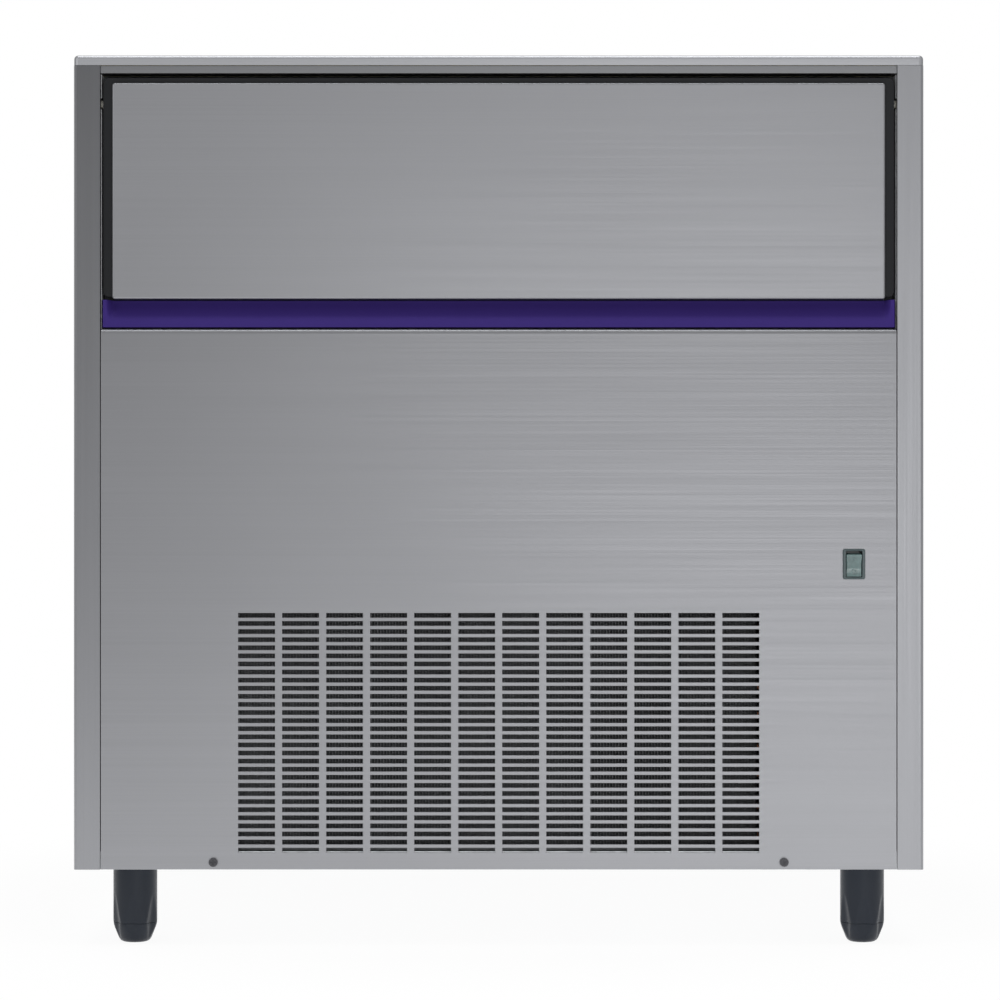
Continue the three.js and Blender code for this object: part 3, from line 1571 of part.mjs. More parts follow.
// The rocker rests with its upper end out and its lower end pressed in.
const switchPlace = groupAt(machine, switchX, 0, switchZ);
piece(switchPlace, "switch_housing", switchHousing(), darkFrame());
const rocker = piece(switchPlace, "switch_rocker", switchRocker(), greenLens());
rocker.position.y = rockerPivotDepth;
rocker.rotation.x = rockerTilt;

// Legs
const legPlaces = [
  ["front_left", -1, legSetback],
  ["front_right", 1, legSetback],
  ["rear_left", -1, cabinetDepth - legSetback],
  ["rear_right", 1, cabinetDepth - legSetback],
];
for (const [name, side, y] of legPlaces) {
  const x = side * (halfWidth - legInset);
  const sleevePlace = groupAt(machine, x, y, legHeight);
  piece(sleevePlace, `${name}_leg_sleeve`, legSleeve(), blackPlastic());
  piece(groupAt(machine, x, y, 0), `${name}_foot`, adjustableFoot(), blackPlastic());
}

// Door and its guides
const doorGroup = groupAt(machine, 0, doorPivotDepth, doorPivotZ);
piece(doorGroup, "door_skin", doorSkin(), brushedSteel());
piece(doorGroup, "door_frame", doorFrame(), blackPlastic());
piece(doorGroup, "door_grip_strip", doorGripStrip(), purplePlastic());
piece(doorGroup, "door_liner", doorLiner(), whitePlastic());
piece(doorGroup, "door_seal", doorSeal(), blackRubber());
for (const [name, side] of [["left", -1], ["right", 1]]) {
  piece(doorGroup, `${name}_door_runner`, doorRunner(side), acetal());
  const railPlace = groupAt(machine, 0, 0, doorPivotZ);
  piece(railPlace, `${name}_guide_rail`, guideRail(side), galvanisedSteel());
}

// Bin
piece(machine, "bin_insulation", binInsulation(), foamedInsulation());
piece(machine, "bin_liner", binLiner(), whitePlastic());
piece(machine, "door_surround", doorSurround(), whitePlastic());

// Ice making group
piece(machine, "water_tank", waterTank(), whitePlastic());
piece(machine, "evaporator_plate", evaporatorPlate(), copper());
piece(machine, "evaporator_coil", evaporatorCoil(), copper());
piece(machine, "ice_slide", iceSlide(), whitePlastic());
piece(machine, "spray_bar", sprayBar(), blackPlastic());
piece(machine, "water_pump", waterPump(), blackPlastic());
piece(machine, "pump_hose", pumpHose(), clearPlastic());
piece(machine, "curtain_rod", curtainRod(), brushedSteel());
const curtainWidth = tankRight - tankLeft - 2 * tankWall - flapGap;
const flapPitch = curtainWidth / flapCount;
for (let i = 0; i < flapCount; i += 1) {
  const x = tankLeft + tankWall + flapGap + i * flapPitch;
  const place = groupAt(machine, x, tankFront - rodInset, rodZ);
  piece(place, `curtain_flap_${i + 1}`, curtainFlap(flapPitch - flapGap), clearPlastic());
}

// Refrigeration set
piece(machine, "condenser", condenser(), aluminium());
piece(machine, "fan_shroud", fanShroud(), galvanisedSteel());
piece(groupAt(machine, 0, fanY(), fanZ), "condenser_fan", condenserFan(), aluminium());
piece(machine, "fan_motor", fanMotor(), blackEnamel());
piece(groupAt(machine, compressorX, compressorY, 0), "compressor", compressor(), blackEnamel());
piece(machine, "compressor_terminal_cover", terminalCover(), blackPlastic());
piece(machine, "filter_drier", filterDrier(), copper());
piece(machine, "hot_gas_valve", hotGasValve(), brass());
piece(machine, "discharge_pipe", dischargePipe(), copper());
piece(machine, "hot_gas_pipe", hotGasPipe(), copper());
piece(machine, "suction_pipe", suctionPipe(), copper());
piece(machine, "capillary_tube", capillaryTube(), copper());
piece(machine, "control_box", controlBox(), blackPlastic());

// Services
piece(machine, "drain_pipe", drainPipe(), whitePlastic());
piece(machine, "water_inlet_valve", waterInletValve(), whitePlastic());
piece(machine, "cable_gland", cableGland(), blackPlastic());

export default root;
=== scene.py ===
import math
import bpy
import bmesh
from mathutils import Matrix, Vector


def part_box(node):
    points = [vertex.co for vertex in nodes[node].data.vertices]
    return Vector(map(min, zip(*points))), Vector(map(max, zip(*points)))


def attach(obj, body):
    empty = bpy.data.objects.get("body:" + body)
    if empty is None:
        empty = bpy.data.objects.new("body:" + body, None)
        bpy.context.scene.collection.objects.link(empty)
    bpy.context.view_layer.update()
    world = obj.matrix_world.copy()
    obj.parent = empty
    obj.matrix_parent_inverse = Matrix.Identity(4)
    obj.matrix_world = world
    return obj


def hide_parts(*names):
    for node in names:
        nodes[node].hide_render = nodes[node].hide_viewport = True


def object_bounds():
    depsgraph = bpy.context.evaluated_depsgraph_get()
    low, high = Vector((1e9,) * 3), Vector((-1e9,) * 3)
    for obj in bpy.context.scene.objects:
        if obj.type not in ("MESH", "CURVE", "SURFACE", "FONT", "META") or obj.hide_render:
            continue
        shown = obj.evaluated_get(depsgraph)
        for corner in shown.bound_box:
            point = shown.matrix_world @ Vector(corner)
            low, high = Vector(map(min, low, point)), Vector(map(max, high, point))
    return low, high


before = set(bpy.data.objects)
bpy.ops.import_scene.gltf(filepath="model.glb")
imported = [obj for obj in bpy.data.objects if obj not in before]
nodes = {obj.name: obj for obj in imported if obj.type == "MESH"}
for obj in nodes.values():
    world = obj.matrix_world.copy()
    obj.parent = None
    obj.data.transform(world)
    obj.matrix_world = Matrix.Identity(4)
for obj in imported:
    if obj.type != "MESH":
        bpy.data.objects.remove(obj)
cad_low, cad_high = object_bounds()
scene = bpy.context.scene
scene.view_settings.view_transform = "Standard"

MM = 0.001

# The photograph's camera: level, straight on, with the floor line hidden behind the cabinet
VIEW_DISTANCE = 3.2
VIEW_HEIGHT = 0.4403
VIEW_SIDE = 0.0013
VIEW_WIDTH = 0.988
VIEW_END = 50
SENSOR = 36.0

# Background and floor. The glow is what shiny faces mirror. Its share rises to one over the fade.
WORLD_LEVEL = 0.62
FLOOR_RADIUS = 1.9
FLOOR_SIDES = 96
FLOOR_TONE = 0.93
FLOOR_GLOW = 1.8
FLOOR_SHARE = 0.93
FLOOR_FADE = (0.5, 0.9)

# Colours and textures. The grains are waves or cells per metre, along and across where there are two.
STEEL = (0.206, 0.209, 0.220)
# painted shade: a darker steel for the top rail, standing in for the lid's shadow
PAINTED_SHADE_STEEL = (0.155, 0.158, 0.165)
STEEL_LINES = (3.0, 950.0)
STEEL_BANDS = (1.2, 85.0)
STEEL_CLOUDS = 3.2
ZINC_FLAKES = 110
FOAM = (0.70, 0.59, 0.30)
FOAM_FILM = (0.66, 0.68, 0.70)
FOAM_CELLS = 420

# Softened edges
SMOOTH_ANGLE = math.radians(42)
BEVEL_ANGLE = math.radians(50)
BEVEL_SEGMENTS = 2
WELD = 0.001 * MM
CORNER_STEPS = 5

# Sheet work
SHEET = 1.5 * MM
SKIN_ROUNDING = 2.2 * MM
SKIN_CORNER = 0.6 * MM
SKIN_INSET = 1.3 * MM
SKIN_LOWER_DROP = 3.1 * MM
SKIN_UPPER_DROP = 2.4 * MM
COVER_ROUNDING = 4 * MM
COVER_CORNER = 1 * MM

# Lower front panel
GRILLE_COLUMNS = 12
GRILLE_ROWS = 30
GRILLE_BOTTOM = 92 * MM
SLOT_WIDTH = 36.2 * MM
SLOT_HEIGHT = 4.6 * MM
SLOT_PITCH_X = 43.5 * MM
SLOT_PITCH_Z = 8 * MM
PANEL_ROLL = 6 * MM
PANEL_DROP = 12 * MM
PANEL_WIDER = 1.7 * MM
PANEL_TALLER = 1.2 * MM
PANEL_RETURN = 18.2 * MM
PANEL_EDGE = 0.35 * MM
RETURN_BOTTOM = 93.6 * MM
ROLL_STEPS = 8
SCREW_X = 282 * MM
SCREW_Z = 82.5 * MM
SCREW_HOLE = 2.4 * MM
WINDOW_HALF_X = 10.1 * MM
WINDOW_HALF_Z = 14.1 * MM

# Grip strip
GRIP_DEPTH = 15 * MM
GRIP_WALL = 3 * MM
GRIP_ENDS = 7 * MM
GRIP_EDGE = 0.5 * MM
GRIP_STEPS = 24
GRIP_END_STEPS = 6

# Rocker switch. The bezel's depths are behind the panel's face. The places of the paddle, its bar and
# its ring are in front of and above the pivot, but for the heel, which is behind it.
SWITCH_X = 351 * MM
SWITCH_Z = 377 * MM
SWITCH_DEPTH = 28 * MM
WELL_DEPTH = 13 * MM
BEZEL_HALF_X = 11 * MM
BEZEL_HALF_Z = 15 * MM
BEZEL_SEAT = 0.3 * MM
BEZEL_OVERHANG = 1.2 * MM
BEZEL_WALL = 2.2 * MM
BEZEL_CHEEK = 1 * MM
BEZEL_EDGE = 0.15 * MM
ROCKER_PIVOT = 6 * MM
ROCKER_TILT = math.radians(10)
PADDLE_HALF_X = 7.5 * MM
PADDLE_HALF_Z = 11 * MM
PADDLE_REACH = 9 * MM
PADDLE_DISH = 2.4 * MM
PADDLE_SIDE = 2 * MM
PADDLE_HEEL = 4 * MM
PADDLE_HEEL_HALF = 5 * MM
PADDLE_CHAMFER = 0.5 * MM
PADDLE_EDGE = 0.2 * MM
PADDLE_STEPS = 14
BAR_HALF_X = 0.5 * MM
BAR_FRONT = 8.1 * MM
BAR_REAR = 6.6 * MM
BAR_LOW = 4.2 * MM
BAR_HIGH = 8.4 * MM
RING_OUTER = 2.5 * MM
RING_INNER = 1.6 * MM
RING_FRONT = 8 * MM
RING_REAR = 7 * MM
RING_Z = -6.3 * MM
RING_SIDES = 28

# Legs
SLEEVE_RADIUS = 21.8 * MM
SLEEVE_CHAMFER = 0.2 * MM
SLEEVE_SHOULDER = 0.6 * MM
SLEEVE_RIM = 6 * MM
SLEEVE_LOW = 19.3 * MM
SLEEVE_HIGH = 74.7 * MM
SLEEVE_STEPS = 36
BORE_RADIUS = 6.4 * MM
BORE_DEPTH = 52 * MM
SPINDLE_RADIUS = 5.8 * MM
SPINDLE_TOP = 61 * MM
FOOT_TOP = 19 * MM
FLUTES = 6
FLUTE_DEPTH = 3.6 * MM
FLUTE_TOP = 48 * MM
FLUTE_END = 3.5 * MM
FLUTE_MARGIN = 1 * MM
LEG_SIDES = 96

# Condenser
FIN_PITCH = 3 * MM
FIN_THICKNESS = 0.35 * MM
FIN_RIPPLES = 6
FIN_SWAY = 3.4 * MM
PLATE = 3 * MM
TUBE_RADIUS = 4.5 * MM
TUBE_SIDES = 12
BEND_RADIUS = 14 * MM
BEND_STEPS = 6
PASSES = 4

# Screws of the back panel
BACK_SCREW_INSET = 9 * MM
BACK_SCREW_SEAT = 0.2 * MM
BACK_SCREW_SHARES = (0.35, 0.65)
BACK_SCREW_SIDES = 20

# Places taken from the frame
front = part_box("lower_front_panel")[0].y
top = cad_high[2]


# Parts of a material
def new_material(name, color, roughness, metallic=0.0):
    material = bpy.data.materials.new(name)
    material.use_nodes = True
    shader = material.node_tree.nodes["Principled BSDF"]
    shader.inputs["Base Color"].default_value = (*color, 1)
    shader.inputs["Roughness"].default_value = roughness
    shader.inputs["Metallic"].default_value = metallic
    return material, material.node_tree, shader


def place_of(tree, stretch):
    coordinates = tree.nodes.new("ShaderNodeTexCoord")
    mapping = tree.nodes.new("ShaderNodeMapping")
    mapping.inputs["Scale"].default_value = stretch
    tree.links.new(coordinates.outputs["Object"], mapping.inputs["Vector"])
    return mapping.outputs["Vector"]


def height_of(tree):
    coordinates = tree.nodes.new("ShaderNodeTexCoord")
    separate = tree.nodes.new("ShaderNodeSeparateXYZ")
    tree.links.new(coordinates.outputs["Object"], separate.inputs["Vector"])
    return separate.outputs["Z"]


def noise(tree, stretch, detail):
    texture = tree.nodes.new("ShaderNodeTexNoise")
    texture.inputs["Scale"].default_value = 1
    texture.inputs["Detail"].default_value = detail
    tree.links.new(place_of(tree, stretch), texture.inputs["Vector"])
    return texture.outputs["Fac"]


def even_noise(tree, grain, detail):
    return noise(tree, (grain, grain, grain), detail)


def lined_noise(tree, axis, grains, detail):
    """Noise in lines along an axis."""
    along, across = grains
    return noise(tree, [along if name == axis else across for name in "XYZ"], detail)


def cells(tree, grain):
    texture = tree.nodes.new("ShaderNodeTexVoronoi")
    texture.inputs["Scale"].default_value = 1
    tree.links.new(place_of(tree, (grain, grain, grain)), texture.inputs["Vector"])
    return texture


def spread(tree, value, low, high, start=0.3, end=0.7):
    """Turns a value between start and end into one between low and high."""
    ranged = tree.nodes.new("ShaderNodeMapRange")
    ranged.inputs["From Min"].default_value = start
    ranged.inputs["From Max"].default_value = end
    ranged.inputs["To Min"].default_value = low
    ranged.inputs["To Max"].default_value = high
    tree.links.new(value, ranged.inputs["Value"])
    return ranged.outputs["Result"]


def varied(tree, value, amount):
    """A tone near one, which the value moves by the amount to both sides."""
    return spread(tree, value, 1 - amount, 1 + amount)


def combined(tree, operation, first, second):
    node = tree.nodes.new("ShaderNodeMath")
    node.operation = operation
    tree.links.new(first, node.inputs[0])
    tree.links.new(second, node.inputs[1])
    return node.outputs["Value"]


def product(tree, first, *others):
    result = first
    for other in others:
        result = combined(tree, "MULTIPLY", result, other)
    return result


def shade_color(tree, color, factor):
    """The colour, given or from a socket, times a grey factor that varies over the surface."""
    scaled = tree.nodes.new("ShaderNodeVectorMath")
    scaled.operation = "SCALE"
    if isinstance(color, bpy.types.NodeSocket):
        tree.links.new(color, scaled.inputs[0])
    else:
        scaled.inputs[0].default_value = color
    tree.links.new(factor, scaled.inputs["Scale"])
    return scaled.outputs["Vector"]


def link_surface(tree, shader, color, roughness):
    tree.links.new(color, shader.inputs["Base Color"])
    tree.links.new(roughness, shader.inputs["Roughness"])


def bump(tree, shader, height, strength, distance):
    node = tree.nodes.new("ShaderNodeBump")
    node.inputs["Strength"].default_value = strength
    node.inputs["Distance"].default_value = distance
    tree.links.new(height, node.inputs["Height"])
    tree.links.new(node.outputs["Normal"], shader.inputs["Normal"])


def facing(tree, axis, start, end):
    """One on faces whose normal has at most start along the axis, and none from end on."""
    geometry = tree.nodes.new("ShaderNodeNewGeometry")
    separate = tree.nodes.new("ShaderNodeSeparateXYZ")
    tree.links.new(geometry.outputs["Normal"], separate.inputs["Vector"])
    return spread(tree, separate.outputs[axis], 1, 0, start, end)


def painted_front_tone(tree, heights, tones):
    """Painted light and shade: the tone of faces that look forward, from the first height to the second.
    Others have one.
    """
    change = spread(tree, height_of(tree), tones[0] - 1, tones[1] - 1, *heights)
    shift = product(tree, change, facing(tree, "Y", -0.9, -0.7))
    return spread(tree, shift, 0, 2, -1, 1)


# Materials
def brushed_steel(name, color, axis, fade=None):
    """Satin stainless sheet, with fine lines along an axis, soft clouds of tone, and painted light that
    makes it a little brighter towards the bottom.

    The fade holds two heights and the tones that faces which look forward have there: a tone below one
    is painted shade, a tone above one is painted light.
    """
    roughness = 0.36
    material, tree, shader = new_material(name, color, roughness, 0.92)
    lines = lined_noise(tree, axis, STEEL_LINES, 2)
    bands = lined_noise(tree, axis, STEEL_BANDS, 3)
    clouds = even_noise(tree, STEEL_CLOUDS, 2)
    tones = [
        varied(tree, lines, 0.025),
        varied(tree, bands, 0.01),
        varied(tree, clouds, 0.02),
        # painted light: the steel is a little brighter towards the bottom
        spread(tree, height_of(tree), 1.05, 1.0, 0.1, top),
    ]
    # painted light and shade on the faces that look forward
    if fade:
        tones.append(painted_front_tone(tree, *fade))
    shaded = shade_color(tree, color, product(tree, *tones))
    link_surface(tree, shader, shaded, spread(tree, lines, roughness - 0.04, roughness + 0.05))
    bump(tree, shader, lines, 0.06, 0.1 * MM)
    return material


def zinc_sheet():
    color = (0.44, 0.46, 0.475)
    material, tree, shader = new_material("zinc_sheet", color, 0.45, 0.85)
    flakes = cells(tree, ZINC_FLAKES)
    separate = tree.nodes.new("ShaderNodeSeparateColor")
    tree.links.new(flakes.outputs["Color"], separate.inputs["Color"])
    shaded = shade_color(tree, color, spread(tree, separate.outputs["Red"], 0.88, 1.1, 0, 1))
    link_surface(tree, shader, shaded, spread(tree, separate.outputs["Green"], 0.36, 0.54, 0, 1))
    return material


def moulded(name, color, roughness, grain=900, clouds=0.06, relief=0.15, metallic=0.0, shine=0.5):
    """A moulded or cast surface, with a fine texture and slight changes of tone."""
    material, tree, shader = new_material(name, color, roughness, metallic)
    shader.inputs["Specular IOR Level"].default_value = shine
    fine = even_noise(tree, grain, 2)
    broad = even_noise(tree, 9, 3)
    shaded = shade_color(tree, color, varied(tree, broad, clouds))
    link_surface(tree, shader, shaded, spread(tree, fine, roughness - 0.05, roughness + 0.07))
    bump(tree, shader, fine, relief, 0.2 * MM)
    return material


def foam():
    material, tree, shader = new_material("foam", FOAM, 0.9)
    depth = cells(tree, FOAM_CELLS).outputs["Distance"]
    shaded = shade_color(tree, FOAM, spread(tree, depth, 0.86, 1.04, 0, 0.8))
    tree.links.new(shaded, shader.inputs["Base Color"])
    bump(tree, shader, depth, 0.5, 0.8 * MM)
    return material


def faced_foam():
    """Foam whose underside, the ceiling over the bin, is faced with a pale film."""
    material, tree, shader = new_material("faced_foam", FOAM, 0.6)
    mix = tree.nodes.new("ShaderNodeMix")
    mix.data_type = "RGBA"
    mix.inputs["A"].default_value = (*FOAM, 1)
    mix.inputs["B"].default_value = (*FOAM_FILM, 1)
    tree.links.new(facing(tree, "Z", -0.95, -0.85), mix.inputs["Factor"])
    depth = cells(tree, FOAM_CELLS).outputs["Distance"]
    shaded = shade_color(tree, mix.outputs["Result"], spread(tree, depth, 0.92, 1.02, 0, 0.8))
    tree.links.new(shaded, shader.inputs["Base Color"])
    return material


def bright_metal(name, color, roughness):
    """Drawn tube and plate with a little tarnish."""
    material, tree, shader = new_material(name, color, roughness, 1.0)
    tarnish = even_noise(tree, 26, 4)
    shaded = shade_color(tree, color, spread(tree, tarnish, 0.78, 1.06))
    link_surface(tree, shader, shaded, spread(tree, tarnish, roughness - 0.06, roughness + 0.12))
    return material


def clear_vinyl():
    material, tree, shader = new_material("clear_vinyl", (0.80, 0.86, 0.88), 0.18)
    shader.inputs["Transmission Weight"].default_value = 0.7
    shader.inputs["IOR"].default_value = 1.38
    haze = even_noise(tree, 40, 3)
    tree.links.new(spread(tree, haze, 0.14, 0.3), shader.inputs["Roughness"])
    return material


def lit_paddle():
    """Green plastic that lets light a little way in."""
    color = (0.108, 0.176, 0.174)
    material, tree, shader = new_material("lit_paddle", color, 0.25)
    shader.inputs["Subsurface Weight"].default_value = 0.3
    shader.inputs["Subsurface Scale"].default_value = 3 * MM
    shader.inputs["Subsurface Radius"].default_value = (0.6, 1.0, 0.95)
    shader.inputs["Coat Weight"].default_value = 0.3
    broad = even_noise(tree, 160, 2)
    shaded = shade_color(tree, color, spread(tree, broad, 0.85, 1.2))
    tree.links.new(shaded, shader.inputs["Base Color"])
    return material


steel_x = brushed_steel("steel_grain_x", STEEL, "X")
steel_z = brushed_steel("steel_grain_z", STEEL, "Z")
# painted shade: the left stile's front face darkens to half its tone towards the top
steel_left_painted_shade = brushed_steel("steel_left_side", STEEL, "Z", fade=((0.1, top), (1.0, 0.5)))
# painted shade: the lower panel's front face darkens towards its top
steel_panel_painted_shade = brushed_steel("steel_lower_panel_painted_shade", STEEL, "X", fade=((0.15, 0.6), (1.0, 0.85)))
# painted light: the lid's front lip is made 1.45 times brighter
steel_lid_painted_light = brushed_steel("steel_lid_painted_light", STEEL, "X", fade=((0, top), (1.45, 1.45)))
# painted shade: the top rail's darker steel stands in for the shadow under the lid
steel_rail_painted_shade = brushed_steel("steel_painted_shade_rail", PAINTED_SHADE_STEEL, "X")
zinc = zinc_sheet()
foamed = foam()
faced = faced_foam()
dark_screw = moulded("dark_screw", (0.045, 0.045, 0.05), 0.35, metallic=0.7)
plain_steel = bright_metal("plain_steel", (0.5, 0.5, 0.51), 0.3)
switch_frame = moulded("switch_frame", (0.028, 0.05, 0.054), 0.32, relief=0.05)
leg_plastic = moulded(
    "leg_plastic", (0.013, 0.017, 0.025), 0.42, grain=500, clouds=0.12, relief=0.2, shine=0.2
)
black_plastic = moulded("black_plastic", (0.010, 0.011, 0.013), 0.5, shine=0.2)
strip_purple = moulded(
    "strip_purple", (0.040, 0.022, 0.164), 0.6, grain=700, clouds=0.04, relief=0.05, shine=0.1
)
white_plastic = moulded("white_plastic", (0.74, 0.76, 0.78), 0.38, grain=600, clouds=0.03, relief=0.08)
seal_rubber = moulded("seal_rubber", (0.018, 0.018, 0.02), 0.7, grain=400, clouds=0.15, relief=0.3)
natural_acetal = moulded("natural_acetal", (0.66, 0.64, 0.57), 0.4)
vinyl = clear_vinyl()
copper = bright_metal("copper", (0.62, 0.27, 0.15), 0.28)
fin_aluminium = bright_metal("fin_aluminium", (0.42, 0.44, 0.46), 0.42)
# painted shade: the fins are darker than bare aluminium, standing in for the shade inside the cabinet
# behind the grille
fins_painted_shade = moulded(
    "fins_painted_shade", (0.20, 0.205, 0.215), 0.6, grain=300, clouds=0.2, relief=0.1, metallic=0.6
)
yellow_brass = bright_metal("yellow_brass", (0.55, 0.40, 0.16), 0.3)
black_enamel = moulded("black_enamel", (0.012, 0.012, 0.014), 0.25, grain=60, clouds=0.1, relief=0.05)
paddle_green = lit_paddle()

CAD_FINISH = {
    steel_x: ["door_skin"],
    steel_lid_painted_light: ["top_cover"],
    steel_panel_painted_shade: ["lower_front_panel"],
    steel_rail_painted_shade: ["top_rail"],
    steel_z: ["right_side_panel"],
    steel_left_painted_shade: ["left_side_panel"],
    zinc: ["base_pan", "back_panel", "left_guide_rail", "right_guide_rail", "fan_shroud"],
    foamed: ["bin_insulation"],
    faced: ["top_insulation"],
    dark_screw: ["left_panel_screw", "right_panel_screw"],
    plain_steel: ["curtain_rod"],
    switch_frame: ["switch_housing"],
    paddle_green: ["switch_rocker"],
    leg_plastic: [
        f"{end}_{side}_{part}"
        for end in ("front", "rear")
        for side in ("left", "right")
        for part in ("leg_sleeve", "foot")
    ],
    black_plastic: [
        "door_frame",
        "spray_bar",
        "water_pump",
        "compressor_terminal_cover",
        "control_box",
        "cable_gland",
    ],
    strip_purple: ["door_grip_strip"],
    white_plastic: [
        "door_liner",
        "bin_liner",
        "door_surround",
        "water_tank",
        "ice_slide",
        "drain_pipe",
        "water_inlet_valve",
    ],
    seal_rubber: ["door_seal"],
    natural_acetal: ["left_door_runner", "right_door_runner"],
    vinyl: ["pump_hose", "curtain_flap_1", "curtain_flap_2", "curtain_flap_3", "curtain_flap_4"],
    copper: [
        "evaporator_plate",
        "evaporator_coil",
        "filter_drier",
        "discharge_pipe",
        "hot_gas_pipe",
        "suction_pipe",
        "capillary_tube",
    ],
    fins_painted_shade: ["condenser"],
    fin_aluminium: ["condenser_fan"],
    yellow_brass: ["hot_gas_valve"],
    black_enamel: ["fan_motor", "compressor"],
}

EDGE_WIDTH = {
    "door_frame": 1.2 * MM,
    "door_liner": 1.2 * MM,
    "left_side_panel": 0.6 * MM,
    "right_side_panel": 0.6 * MM,
    "top_rail": 0.6 * MM,
    "back_panel": 0.4 * MM,
    "base_pan": 0.5 * MM,
    "bin_liner": 0.7 * MM,
    "door_surround": 0.7 * MM,
    "left_panel_screw": 0.25 * MM,
    "right_panel_screw": 0.25 * MM,
    "water_tank": 0.8 * MM,
    "control_box": 0.8 * MM,
    "door_seal": 0.4 * MM,
    "left_door_runner": 0.8 * MM,
    "right_door_runner": 0.8 * MM,
    "left_guide_rail": 0.5 * MM,
    "right_guide_rail": 0.5 * MM,
    "fan_shroud": 0.5 * MM,
    "water_inlet_valve": 0.5 * MM,
    "cable_gland": 0.6 * MM,
    "hot_gas_valve": 0.8 * MM,
    "compressor_terminal_cover": 1 * MM,
    "fan_motor": 0.8 * MM,
}


# Softened edges
def smooth_by_angle(limit):
    """Nodes that shade faces smoothly, and keep the edges sharp that turn by the limit or more."""
    group = bpy.data.node_groups.new("smooth_by_angle", "GeometryNodeTree")
    group.interface.new_socket("Geometry", in_out="INPUT", socket_type="NodeSocketGeometry")
    group.interface.new_socket("Geometry", in_out="OUTPUT", socket_type="NodeSocketGeometry")
    start = group.nodes.new("NodeGroupInput")
    end = group.nodes.new("NodeGroupOutput")
    faces = group.nodes.new("GeometryNodeSetShadeSmooth")
    edges = group.nodes.new("GeometryNodeSetShadeSmooth")
    edges.domain = "EDGE"
    angle = group.nodes.new("GeometryNodeInputMeshEdgeAngle")
    below = group.nodes.new("FunctionNodeCompare")
    below.operation = "LESS_THAN"
    below.inputs["B"].default_value = limit
    group.links.new(start.outputs[0], faces.inputs["Geometry"])
    group.links.new(faces.outputs["Geometry"], edges.inputs["Geometry"])
    group.links.new(angle.outputs["Unsigned Angle"], below.inputs["A"])
    group.links.new(below.outputs["Result"], edges.inputs["Shade Smooth"])
    group.links.new(edges.outputs["Geometry"], end.inputs[0])
    return group


smoothing = smooth_by_angle(SMOOTH_ANGLE)


def soften(obj, width):
    if width:
        bevel = obj.modifiers.new("edges", "BEVEL")
        bevel.width = width
        bevel.segments = BEVEL_SEGMENTS
        bevel.limit_method = "ANGLE"
        bevel.angle_limit = BEVEL_ANGLE
    smooth = obj.modifiers.new("smooth", "NODES")
    smooth.node_group = smoothing
    weighted = obj.modifiers.new("flat_faces", "WEIGHTED_NORMAL")
    weighted.keep_sharp = True


for material, names in CAD_FINISH.items():
    for name in names:
        node = nodes[name]
        node.data.materials.clear()
        node.data.materials.append(material)
        soften(node, EDGE_WIDTH.get(name, 0))


# Pieces
def piece(name, verts, faces, material, body, slot, replaces=(), edge=0):
    mesh = bpy.data.meshes.new(name)
    mesh.from_pydata([tuple(v) for v in verts], [], faces)
    work = bmesh.new()
    work.from_mesh(mesh)
    bmesh.ops.remove_doubles(work, verts=work.verts, dist=WELD)
    bmesh.ops.recalc_face_normals(work, faces=work.faces)
    work.to_mesh(mesh)
    work.free()
    mesh.materials.append(material)
    obj = bpy.data.objects.new(name, mesh)
    scene.collection.objects.link(obj)
    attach(obj, body)
    if replaces:
        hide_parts(*replaces)
    soften(obj, edge)


def loft(rings):
    """Joins rings of equally many points into a skin, with its ends capped."""
    verts = [point for ring in rings for point in ring]
    count = len(rings[0])
    faces = []
    for r in range(len(rings) - 1):
        for i in range(count):
            j = (i + 1) % count
            a = r * count
            b = a + count
            faces.append((a + i, a + j, b + j, b + i))
    faces.append(tuple(range(count)))
    last = (len(rings) - 1) * count
    faces.append(tuple(range(last, last + count)))
    return verts, faces


def merged(*parts):
    verts = []
    faces = []
    for part_verts, part_faces in parts:
        base = len(verts)
        verts.extend(part_verts)
        faces.extend(tuple(i + base for i in face) for face in part_faces)
    return verts, faces


def moved(part, matrix):
    verts, faces = part
    return [matrix @ Vector(v) for v in verts], faces


def circle(radius, sides):
    turns = [2 * math.pi * i / sides for i in range(sides)]
    return [(radius * math.cos(turn), radius * math.sin(turn)) for turn in turns]


def round_rect(u0, u1, v0, v1, radius):
    points = []
    centres = (
        (u1 - radius, v0 + radius),
        (u1 - radius, v1 - radius),
        (u0 + radius, v1 - radius),
        (u0 + radius, v0 + radius),
    )
    for corner, (u, v) in enumerate(centres):
        for i in range(CORNER_STEPS + 1):
            angle = math.pi / 2 * (corner - 1 + i / CORNER_STEPS)
            points.append((u + radius * math.cos(angle), v + radius * math.sin(angle)))
    return points


def rounded_edge(radius):
    """Pairs of inset and depth along a rounded edge, from the face to the side."""
    turns = [math.pi / 2 * i / CORNER_STEPS for i in range(CORNER_STEPS + 1)]
    return [(radius * (1 - math.sin(turn)), radius * (1 - math.cos(turn))) for turn in turns]


def pressed_tray(sides, rounding, corner, depth, place):
    """A sheet pressed into a shallow tray with rounded edges. place turns (u, v, depth) into a point."""
    u0, u1, v0, v1 = sides

    def ring(inset, down):
        radius = corner + rounding - inset
        outline = round_rect(u0 + inset, u1 - inset, v0 + inset, v1 - inset, radius)
        return [place(u, v, down) for u, v in outline]

    rings = [ring(inset, down) for inset, down in rounded_edge(rounding)]
    rings += [ring(0, depth), ring(SHEET, depth), ring(SHEET, SHEET)]
    return loft(rings)


def box_at(x0, x1, y0, y1, z0, z1):
    corners = ((x0, y0), (x1, y0), (x1, y1), (x0, y1))
    return loft([[Vector((x, y, z)) for x, y in corners] for z in (z0, z1)])


